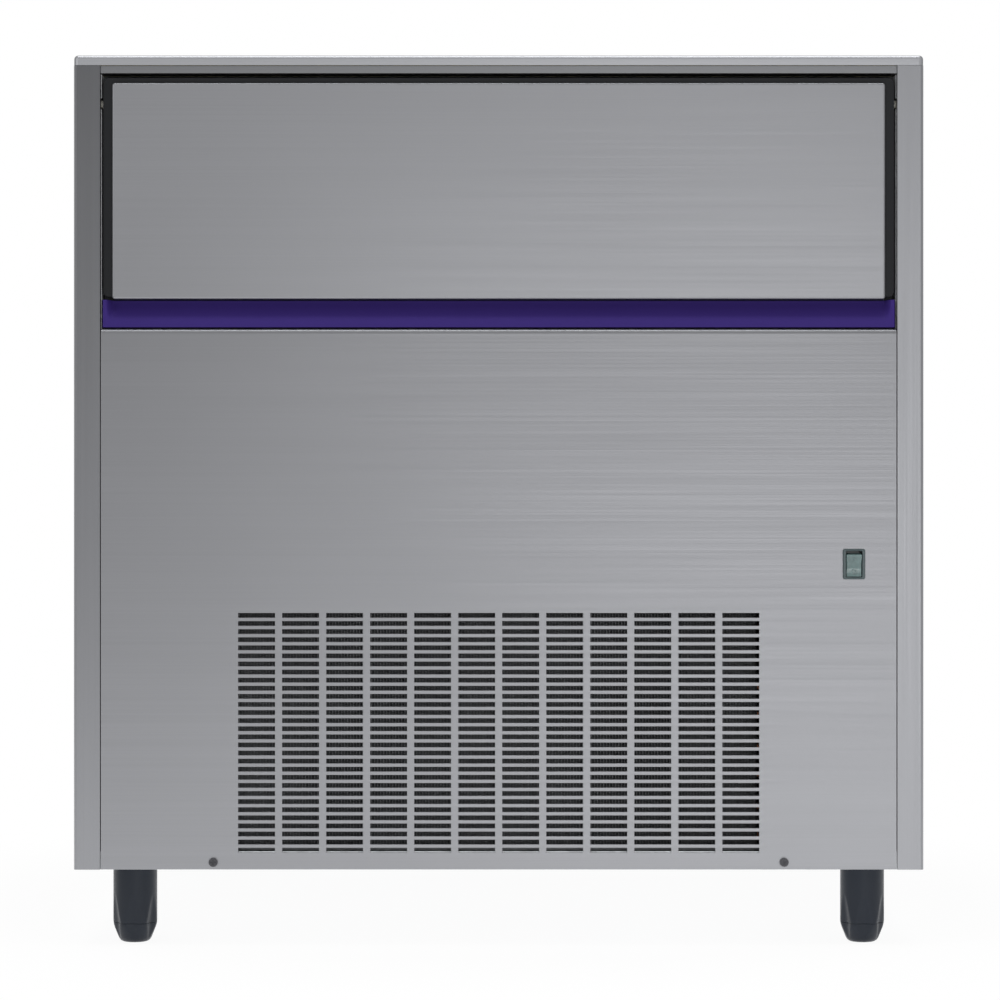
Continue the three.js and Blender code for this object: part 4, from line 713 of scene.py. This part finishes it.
def lathe(profile, sides, radius_at=None):
    """Turns (radius, height) pairs about Z. radius_at changes the radius by angle and height."""
    rings = []
    for radius, height in profile:
        ring = []
        for i in range(sides):
            angle = 2 * math.pi * i / sides
            r = radius_at(radius, angle, height) if radius_at else radius
            ring.append(Vector((r * math.cos(angle), r * math.sin(angle), height)))
        rings.append(ring)
    return loft(rings)


# Door face
def door_face():
    low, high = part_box("door_skin")
    sides = (
        low.x + SKIN_INSET,
        high.x - SKIN_INSET,
        low.z - SKIN_LOWER_DROP,
        high.z - SKIN_UPPER_DROP,
    )

    def place(u, v, depth):
        return Vector((u, front + depth, v))

    return pressed_tray(sides, SKIN_ROUNDING, SKIN_CORNER, high.y - low.y, place)


piece("door_face", *door_face(), steel_x, "door", "cabinet_steel", ["door_skin"])


# Top cover
def lid_cover():
    low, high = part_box("top_cover")

    def place(u, v, depth):
        return Vector((u, v, high.z - depth))

    sides = (low.x, high.x, low.y, high.y)
    return pressed_tray(sides, COVER_ROUNDING, COVER_CORNER, high.z - low.z, place)


piece("lid_cover", *lid_cover(), steel_lid_painted_light, "cabinet", "cabinet_steel", ["top_cover"])


# Lower front panel
def pierced_sheet(columns, rows, is_open):
    """A folded sheet with square holes. Each row is an outer and an inner (y, z) pair."""
    verts = []
    for side in (0, 1):
        for row in rows:
            y, z = row[side]
            verts.extend(Vector((x, y, z)) for x in columns)
    width = len(columns)
    layer = width * len(rows)
    closed = [(i, j) for j in range(len(rows) - 1) for i in range(width - 1) if not is_open(i, j)]
    solid = set(closed)
    faces = []
    for i, j in closed:
        a = j * width + i
        b = a + 1
        c = b + width
        d = a + width
        faces.append((a, b, c, d))
        faces.append((layer + d, layer + c, layer + b, layer + a))
        sides = [((i, j - 1), a, b), ((i + 1, j), b, c), ((i, j + 1), c, d), ((i - 1, j), d, a)]
        for neighbour, p, q in sides:
            if neighbour not in solid:
                faces.append((q, p, layer + p, layer + q))
    return verts, faces


def hole_around(x, z, half_x, half_z):
    return (x - half_x, x + half_x, z - half_z, z + half_z)


def panel_holes():
    """Each hole of the lower panel as x0, x1, z0, z1."""
    holes = [hole_around(SWITCH_X, SWITCH_Z, WINDOW_HALF_X, WINDOW_HALF_Z)]
    for x in (-SCREW_X, SCREW_X):
        holes.append(hole_around(x, SCREW_Z, SCREW_HOLE, SCREW_HOLE))
    for row in range(GRILLE_ROWS):
        z = GRILLE_BOTTOM + row * SLOT_PITCH_Z
        for column in range(GRILLE_COLUMNS):
            x = (column - (GRILLE_COLUMNS - 1) / 2) * SLOT_PITCH_X
            holes.append((x - SLOT_WIDTH / 2, x + SLOT_WIDTH / 2, z, z + SLOT_HEIGHT))
    return holes


def cut_lines(*places):
    """The places in order, each one once."""
    digits = 6
    return sorted({round(place, digits) for place in places})


def panel_rows(heights, panel_top, rear):
    """The panel's section: up its face, over the roll to the rear, and down the drop."""
    face_top = panel_top - PANEL_ROLL
    rows = [((front, z), (front + SHEET, z)) for z in heights]
    for i in range(ROLL_STEPS + 1):
        turn = math.pi / 2 * i / ROLL_STEPS
        outer, inner = [
            (front + PANEL_ROLL - radius * math.cos(turn), face_top + radius * math.sin(turn))
            for radius in (PANEL_ROLL, PANEL_ROLL - SHEET)
        ]
        rows.append((outer, inner))
    rows.append(((rear, panel_top), (rear - SHEET, panel_top - SHEET)))
    rows.append(((rear, panel_top - PANEL_DROP), (rear - SHEET, panel_top - PANEL_DROP)))
    return rows


def slotted_panel():
    low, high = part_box("lower_front_panel")
    left = low.x - PANEL_WIDER
    right = high.x + PANEL_WIDER
    panel_top = high.z + PANEL_TALLER
    holes = panel_holes()
    columns = cut_lines(left, right, *(x for x0, x1, z0, z1 in holes for x in (x0, x1)))
    heights = cut_lines(low.z, *(z for x0, x1, z0, z1 in holes for z in (z0, z1)))

    def is_open(i, j):
        if j + 1 >= len(heights):
            return False
        x = (columns[i] + columns[i + 1]) / 2
        z = (heights[j] + heights[j + 1]) / 2
        return any(x0 < x < x1 and z0 < z < z1 for x0, x1, z0, z1 in holes)

    face = pierced_sheet(columns, panel_rows(heights, panel_top, high.y), is_open)
    returns = [
        box_at(x, x + SHEET, front + SHEET, front + PANEL_RETURN, RETURN_BOTTOM, panel_top - PANEL_ROLL)
        for x in (left, right - SHEET)
    ]
    return merged(face, *returns)


piece(
    "slotted_panel",
    *slotted_panel(),
    steel_panel_painted_shade,
    "cabinet",
    "cabinet_steel",
    ["lower_front_panel"],
    PANEL_EDGE,
)


# Grip strip
def grip_scoop():
    """A strip across the door's lower edge, with a shallow scoop that runs out before its ends."""
    low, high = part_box("door_grip_strip")
    strip_top = high.z - SKIN_LOWER_DROP
    rear = front + GRIP_DEPTH + GRIP_WALL
    lip = front + SHEET
    floor = low.z + GRIP_WALL
    ends = [(0, 0)]
    for k in range(GRIP_END_STEPS + 1):
        share = k / GRIP_END_STEPS
        ends.append((GRIP_WALL + GRIP_ENDS * share, math.sin(math.pi / 2 * share) ** 2))
    stations = [(low.x + along, share) for along, share in ends]
    stations += [(high.x - along, share) for along, share in reversed(ends)]
    rings = []
    for x, share in stations:
        ring = [Vector((x, rear, strip_top)), Vector((x, rear, low.z)), Vector((x, lip, low.z))]
        for i in range(GRIP_STEPS + 1):
            turn = math.pi / 2 * i / GRIP_STEPS
            depth = (GRIP_DEPTH - SHEET) * math.sin(turn) ** 2 * share
            ring.append(Vector((x, lip + depth, floor + (strip_top - floor) * i / GRIP_STEPS)))
        rings.append(ring)
    return loft(rings)


piece(
    "grip_scoop",
    *grip_scoop(),
    strip_purple,
    "door",
    "purple_plastic",
    ["door_grip_strip"],
    GRIP_EDGE,
)


# Rocker switch
def switch_bezel():
    """The bezel, its well and the body behind it, as one moulding.

    A section has its depth, its inset from the bezel, how much narrower it is, and its corners.
    """
    sections = [
        (SWITCH_DEPTH, BEZEL_OVERHANG, 0, 1.5 * MM),
        (-BEZEL_SEAT, BEZEL_OVERHANG, 0, 1.5 * MM),
        (-BEZEL_SEAT, 0, 0, 2 * MM),
        (-1.5 * MM, 0, 0, 2 * MM),
        (-2.1 * MM, 0.25 * MM, 0, 1.8 * MM),
        (-2.3 * MM, 0.8 * MM, 0, 1.5 * MM),
        (-2.3 * MM, BEZEL_WALL - 0.5 * MM, BEZEL_CHEEK, 1 * MM),
        (-1.7 * MM, BEZEL_WALL, BEZEL_CHEEK, 0.8 * MM),
        (WELL_DEPTH, BEZEL_WALL, BEZEL_CHEEK, 0.8 * MM),
    ]
    rings = []
    for depth, inset, narrower, corner in sections:
        across = BEZEL_HALF_X - inset - narrower
        up = BEZEL_HALF_Z - inset
        outline = round_rect(-across, across, -up, up, corner)
        rings.append([Vector((SWITCH_X + u, front + depth, SWITCH_Z + v)) for u, v in outline])
    return loft(rings)


piece(
    "switch_bezel",
    *switch_bezel(),
    switch_frame,
    "cabinet",
    "switch_frame",
    ["switch_housing"],
    BEZEL_EDGE,
)


def paddle_block():
    """The paddle's body, dished in front and narrower at the heel."""
    profile = []
    for i in range(PADDLE_STEPS + 1):
        share = i / PADDLE_STEPS * 2 - 1
        dish = PADDLE_DISH * (1 - share * share)
        profile.append((dish - PADDLE_REACH, PADDLE_HALF_Z * share))
    profile += [
        (-PADDLE_SIDE, PADDLE_HALF_Z),
        (PADDLE_HEEL, PADDLE_HEEL_HALF),
        (PADDLE_HEEL, -PADDLE_HEEL_HALF),
        (-PADDLE_SIDE, -PADDLE_HALF_Z),
    ]
    stations = (
        (-PADDLE_HALF_X, PADDLE_CHAMFER),
        (-PADDLE_HALF_X + PADDLE_CHAMFER, 0),
        (PADDLE_HALF_X - PADDLE_CHAMFER, 0),
        (PADDLE_HALF_X, PADDLE_CHAMFER),
    )
    rings = []
    for x, inset in stations:
        shrink = 1 - inset / PADDLE_HALF_Z
        rings.append([Vector((x, y + inset if y < -PADDLE_SIDE else y, z * shrink)) for y, z in profile])
    return loft(rings)


def paddle_ring():
    """The raised ring on the paddle's lower half."""
    rings = []
    for radius, forward in (
        (RING_OUTER, RING_REAR),
        (RING_OUTER, RING_FRONT),
        (RING_INNER, RING_FRONT),
        (RING_INNER, RING_REAR),
    ):
        rings.append([Vector((u, -forward, v + RING_Z)) for u, v in circle(radius, RING_SIDES)])
    return loft(rings)


def rocker_paddle():
    """The paddle with a raised bar and ring, tilted about its pivot."""
    bar = box_at(-BAR_HALF_X, BAR_HALF_X, -BAR_FRONT, -BAR_REAR, BAR_LOW, BAR_HIGH)
    pivot = Matrix.Translation((SWITCH_X, front + ROCKER_PIVOT, SWITCH_Z))
    tilt = Matrix.Rotation(ROCKER_TILT, 4, "X")
    return moved(merged(paddle_block(), bar, paddle_ring()), pivot @ tilt)


piece(
    "rocker_paddle",
    *rocker_paddle(),
    paddle_green,
    "rocker",
    "switch_paddle",
    ["switch_rocker"],
    PADDLE_EDGE,
)


# Legs
def flute_cut(angle, share):
    """Depth of the pointed arches between the leg's ridges. share is how far they are open here."""
    ridge = (1 + math.cos(FLUTES * angle)) / 2
    return FLUTE_DEPTH * min(max(share - ridge, 0), 1)


def leg_sleeve():
    """The sleeve about Z, with a bore for the foot's spindle. Its arches open toward the bottom."""
    high = SLEEVE_HIGH - SLEEVE_SHOULDER
    low = SLEEVE_LOW + SLEEVE_CHAMFER
    profile = [(SLEEVE_RADIUS - SLEEVE_RIM, SLEEVE_HIGH), (SLEEVE_RADIUS, SLEEVE_HIGH)]
    for i in range(SLEEVE_STEPS + 1):
        profile.append((SLEEVE_RADIUS, high - (high - low) * i / SLEEVE_STEPS))
    profile.append((SLEEVE_RADIUS - SLEEVE_CHAMFER, SLEEVE_LOW))
    profile.append((BORE_RADIUS, SLEEVE_LOW))
    profile.append((BORE_RADIUS, SLEEVE_LOW + BORE_DEPTH))

    def radius_at(radius, angle, height):
        if radius < SLEEVE_RADIUS - FLUTE_MARGIN:
            return radius
        return radius - flute_cut(angle, (FLUTE_TOP - height) / (FLUTE_TOP - SLEEVE_LOW))

    return lathe(profile, LEG_SIDES, radius_at)


def leg_foot():
    """The foot about Z, with its spindle. Its arches close toward the floor."""
    profile = [
        (SPINDLE_RADIUS, SPINDLE_TOP),
        (SPINDLE_RADIUS, FOOT_TOP),
        (SLEEVE_RADIUS - SLEEVE_CHAMFER, FOOT_TOP),
        (21.7 * MM, 18.8 * MM),
        (21.1 * MM, 16.5 * MM),
        (20.3 * MM, 14 * MM),
        (19.3 * MM, 11.5 * MM),
        (18.3 * MM, 9 * MM),
        (17.4 * MM, 6.8 * MM),
        (16.6 * MM, 4.8 * MM),
        (15.8 * MM, 3.2 * MM),
        (14.6 * MM, 1.6 * MM),
        (13 * MM, 0.5 * MM),
        (11.5 * MM, 0),
    ]

    def radius_at(radius, angle, height):
        if radius < SPINDLE_RADIUS + FLUTE_MARGIN:
            return radius
        return radius - flute_cut(angle, (height - FLUTE_END) / (FOOT_TOP - FLUTE_END))

    return lathe(profile, LEG_SIDES, radius_at)


for end in ("front", "rear"):
    for side in ("left", "right"):
        name = f"{end}_{side}"
        sleeve = f"{name}_leg_sleeve"
        low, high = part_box(sleeve)
        middle = (low + high) / 2
        place = Matrix.Translation((middle.x, middle.y, 0))
        piece(
            f"{name}_fluted_sleeve",
            *moved(leg_sleeve(), place),
            leg_plastic,
            "cabinet",
            "leg_plastic",
            [sleeve],
        )
        piece(
            f"{name}_fluted_foot",
            *moved(leg_foot(), place),
            leg_plastic,
            f"{name}_foot_screw",
            "leg_plastic",
            [f"{name}_foot"],
        )


# Condenser
def rippled_fin(x, y0, y1, z0, z1):
    """A thin fin, pressed into ripples so that no straight line passes between two fins."""
    ring = []
    for side in (-1, 1):
        points = []
        for k in range(FIN_RIPPLES + 1):
            sway = FIN_SWAY * (1 if k % 2 else -1) / 2
            points.append((x + sway + side * FIN_THICKNESS / 2, y0 + (y1 - y0) * k / FIN_RIPPLES))
        ring += points if side < 0 else reversed(points)
    return loft([[Vector((u, v, z)) for u, v in ring] for z in (z0, z1)])


def finned_block():
    """The fins, between two end plates and a plate above and below."""
    low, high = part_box("condenser")
    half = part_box("fan_shroud")[1].x
    inside = half - PLATE
    bottom = GRILLE_BOTTOM
    fin_top = high.z - 2 * PLATE
    parts = []
    for i in range(1, round(2 * inside / FIN_PITCH)):
        parts.append(rippled_fin(i * FIN_PITCH - inside, low.y, high.y, bottom + PLATE, fin_top))
    for x0, x1 in ((-half, -inside), (inside, half)):
        parts.append(box_at(x0, x1, low.y, high.y, low.z, high.z))
    for z0, z1 in ((fin_top, high.z), (bottom, bottom + PLATE)):
        parts.append(box_at(-inside, inside, low.y, high.y, z0, z1))
    return merged(*parts)


piece("finned_block", *finned_block(), fins_painted_shade, "cabinet", "aluminium_fins")


def tube(points):
    """A round tube through the points."""
    rings = []
    for i, point in enumerate(points):
        ahead = points[min(i + 1, len(points) - 1)] - points[max(i - 1, 0)]
        turn = ahead.to_track_quat("Z", "Y")
        rings.append([point + turn @ Vector((u, v, 0)) for u, v in circle(TUBE_RADIUS, TUBE_SIDES)])
    return loft(rings)


def hairpin(half, y, z):
    """Two straight passes through the fins, joined by a return bend at the right."""
    centre = Vector((half + TUBE_RADIUS, y, z + BEND_RADIUS))
    points = [Vector((-half, y, z)), Vector((half, y, z))]
    for k in range(BEND_STEPS + 1):
        turn = math.pi * k / BEND_STEPS - math.pi / 2
        points.append(centre + BEND_RADIUS * Vector((math.cos(turn), 0, math.sin(turn))))
    points.append(Vector((-half, y, z + 2 * BEND_RADIUS)))
    return tube(points)


def condenser_tubes():
    """The hairpins, one above the other, with straight tubes that lead in below and out above."""
    low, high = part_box("condenser")
    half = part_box("fan_shroud")[1].x
    y = (low.y + high.y) / 2
    bottom = GRILLE_BOTTOM + 2 * PLATE
    first = bottom + BEND_RADIUS / 2
    span = high.z - bottom - 4 * BEND_RADIUS
    parts = [hairpin(half, y, first + span * index / (PASSES - 1)) for index in range(PASSES - 1)]
    for z in (first, first + span + 2 * BEND_RADIUS):
        parts.append(tube([Vector((low.x, y, z)), Vector((half - PLATE, y, z))]))
    return merged(*parts)


piece("condenser_tubes", *condenser_tubes(), copper, "cabinet", "copper", ["condenser"])


# Screws of the back panel
def screw_head():
    """A low pan head about Z."""
    profile = [
        (4.2 * MM, 0),
        (4.2 * MM, 0.5 * MM),
        (3.9 * MM, 1.2 * MM),
        (3 * MM, 1.8 * MM),
        (1.4 * MM, 2.1 * MM),
    ]
    return lathe(profile, BACK_SCREW_SIDES)


def back_screws():
    low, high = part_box("back_panel")
    left = low.x + BACK_SCREW_INSET
    right = high.x - BACK_SCREW_INSET
    spots = []
    for z in (high.z - BACK_SCREW_INSET, low.z + BACK_SCREW_INSET):
        spots += [(x, z) for x in (left, low.x / 2, 0, high.x / 2, right)]
    for x in (left, right):
        spots += [(x, low.z + (high.z - low.z) * share) for share in BACK_SCREW_SHARES]
    backward = Matrix.Rotation(-math.pi / 2, 4, "X")
    heads = []
    for x, z in spots:
        place = Matrix.Translation((x, high.y + BACK_SCREW_SEAT, z))
        heads.append(moved(screw_head(), place @ backward))
    return merged(*heads)


piece("back_screws", *back_screws(), plain_steel, "cabinet", "screw_steel")

# Camera
camera_data = bpy.data.cameras.new("camera")
camera = bpy.data.objects.new("camera", camera_data)
scene.collection.objects.link(camera)
camera.location = (VIEW_SIDE, front - VIEW_DISTANCE, VIEW_HEIGHT)
camera.rotation_euler = (math.pi / 2, 0, 0)
camera_data.sensor_width = SENSOR
camera_data.lens = SENSOR * VIEW_DISTANCE / VIEW_WIDTH
camera_data.clip_end = VIEW_END
scene.camera = camera


# Lights
def area_light(name, location, target, width, height, power):
    data = bpy.data.lights.new(name, "AREA")
    data.shape = "RECTANGLE"
    data.size = width
    data.size_y = height
    data.energy = power
    light = bpy.data.objects.new(name, data)
    scene.collection.objects.link(light)
    light.location = location
    direction = Vector(target) - Vector(location)
    light.rotation_euler = direction.to_track_quat("-Z", "Y").to_euler()


area_light("low_softbox", (1.5, -3.3, 0.2), (0.1, -0.38, 0.1), width=2.6, height=0.3, power=6)
area_light("left_fill", (-2.6, -2.4, 1.4), (0, 0, 0.45), width=1.4, height=1.8, power=8)
area_light("front_glow", (0.45, -4.4, 0.6), (0, -0.38, 0.5), width=1.5, height=1.2, power=13)
area_light("top_light", (0, -0.3, 2.8), (0, 0, 0.4), width=2.2, height=1.4, power=44)


# Background and floor
def seen_rays(tree, paths):
    """One for rays from the camera, and for those that shiny and clear faces send on."""
    seen = paths.outputs["Is Camera Ray"]
    for kind in ("Is Glossy Ray", "Is Transmission Ray"):
        seen = combined(tree, "MAXIMUM", seen, paths.outputs[kind])
    return seen


def white_world():
    """A background that is seen as white, and lights the object with less than that."""
    world = bpy.data.worlds.new("studio")
    scene.world = world
    world.use_nodes = True
    tree = world.node_tree
    tree.nodes.clear()
    paths = tree.nodes.new("ShaderNodeLightPath")
    background = tree.nodes.new("ShaderNodeBackground")
    background.inputs["Color"].default_value = (1, 1, 1, 1)
    level = spread(tree, seen_rays(tree, paths), WORLD_LEVEL, 1, 0, 1)
    tree.links.new(level, background.inputs["Strength"])
    output = tree.nodes.new("ShaderNodeOutputWorld")
    tree.links.new(background.outputs["Background"], output.inputs["Surface"])


def floor_paper():
    """White paper that keeps the object's shadow and fades into the background."""
    material = bpy.data.materials.new("floor_paper")
    material.use_nodes = True
    tree = material.node_tree
    tree.nodes.clear()
    paper = tree.nodes.new("ShaderNodeBsdfDiffuse")
    paper.inputs["Color"].default_value = (FLOOR_TONE, FLOOR_TONE, FLOOR_TONE, 1)
    paths = tree.nodes.new("ShaderNodeLightPath")
    glow = tree.nodes.new("ShaderNodeEmission")
    mirrored = spread(tree, paths.outputs["Is Glossy Ray"], 1, FLOOR_GLOW, 0, 1)
    tree.links.new(mirrored, glow.inputs["Strength"])
    coordinates = tree.nodes.new("ShaderNodeTexCoord")
    distance = tree.nodes.new("ShaderNodeVectorMath")
    distance.operation = "LENGTH"
    tree.links.new(coordinates.outputs["Object"], distance.inputs[0])
    share = spread(tree, distance.outputs["Value"], FLOOR_SHARE, 1, *FLOOR_FADE)
    mix = tree.nodes.new("ShaderNodeMixShader")
    tree.links.new(product(tree, seen_rays(tree, paths), share), mix.inputs["Fac"])
    tree.links.new(paper.outputs["BSDF"], mix.inputs[1])
    tree.links.new(glow.outputs["Emission"], mix.inputs[2])
    output = tree.nodes.new("ShaderNodeOutputMaterial")
    tree.links.new(mix.outputs["Shader"], output.inputs["Surface"])
    return material


def pale_floor():
    ring = [Vector((x, y, 0)) for x, y in circle(FLOOR_RADIUS, FLOOR_SIDES)]
    mesh = bpy.data.meshes.new("floor")
    mesh.from_pydata(ring, [], [tuple(range(FLOOR_SIDES))])
    floor = bpy.data.objects.new("floor", mesh)
    scene.collection.objects.link(floor)
    mesh.materials.append(floor_paper())


white_world()
pale_floor()
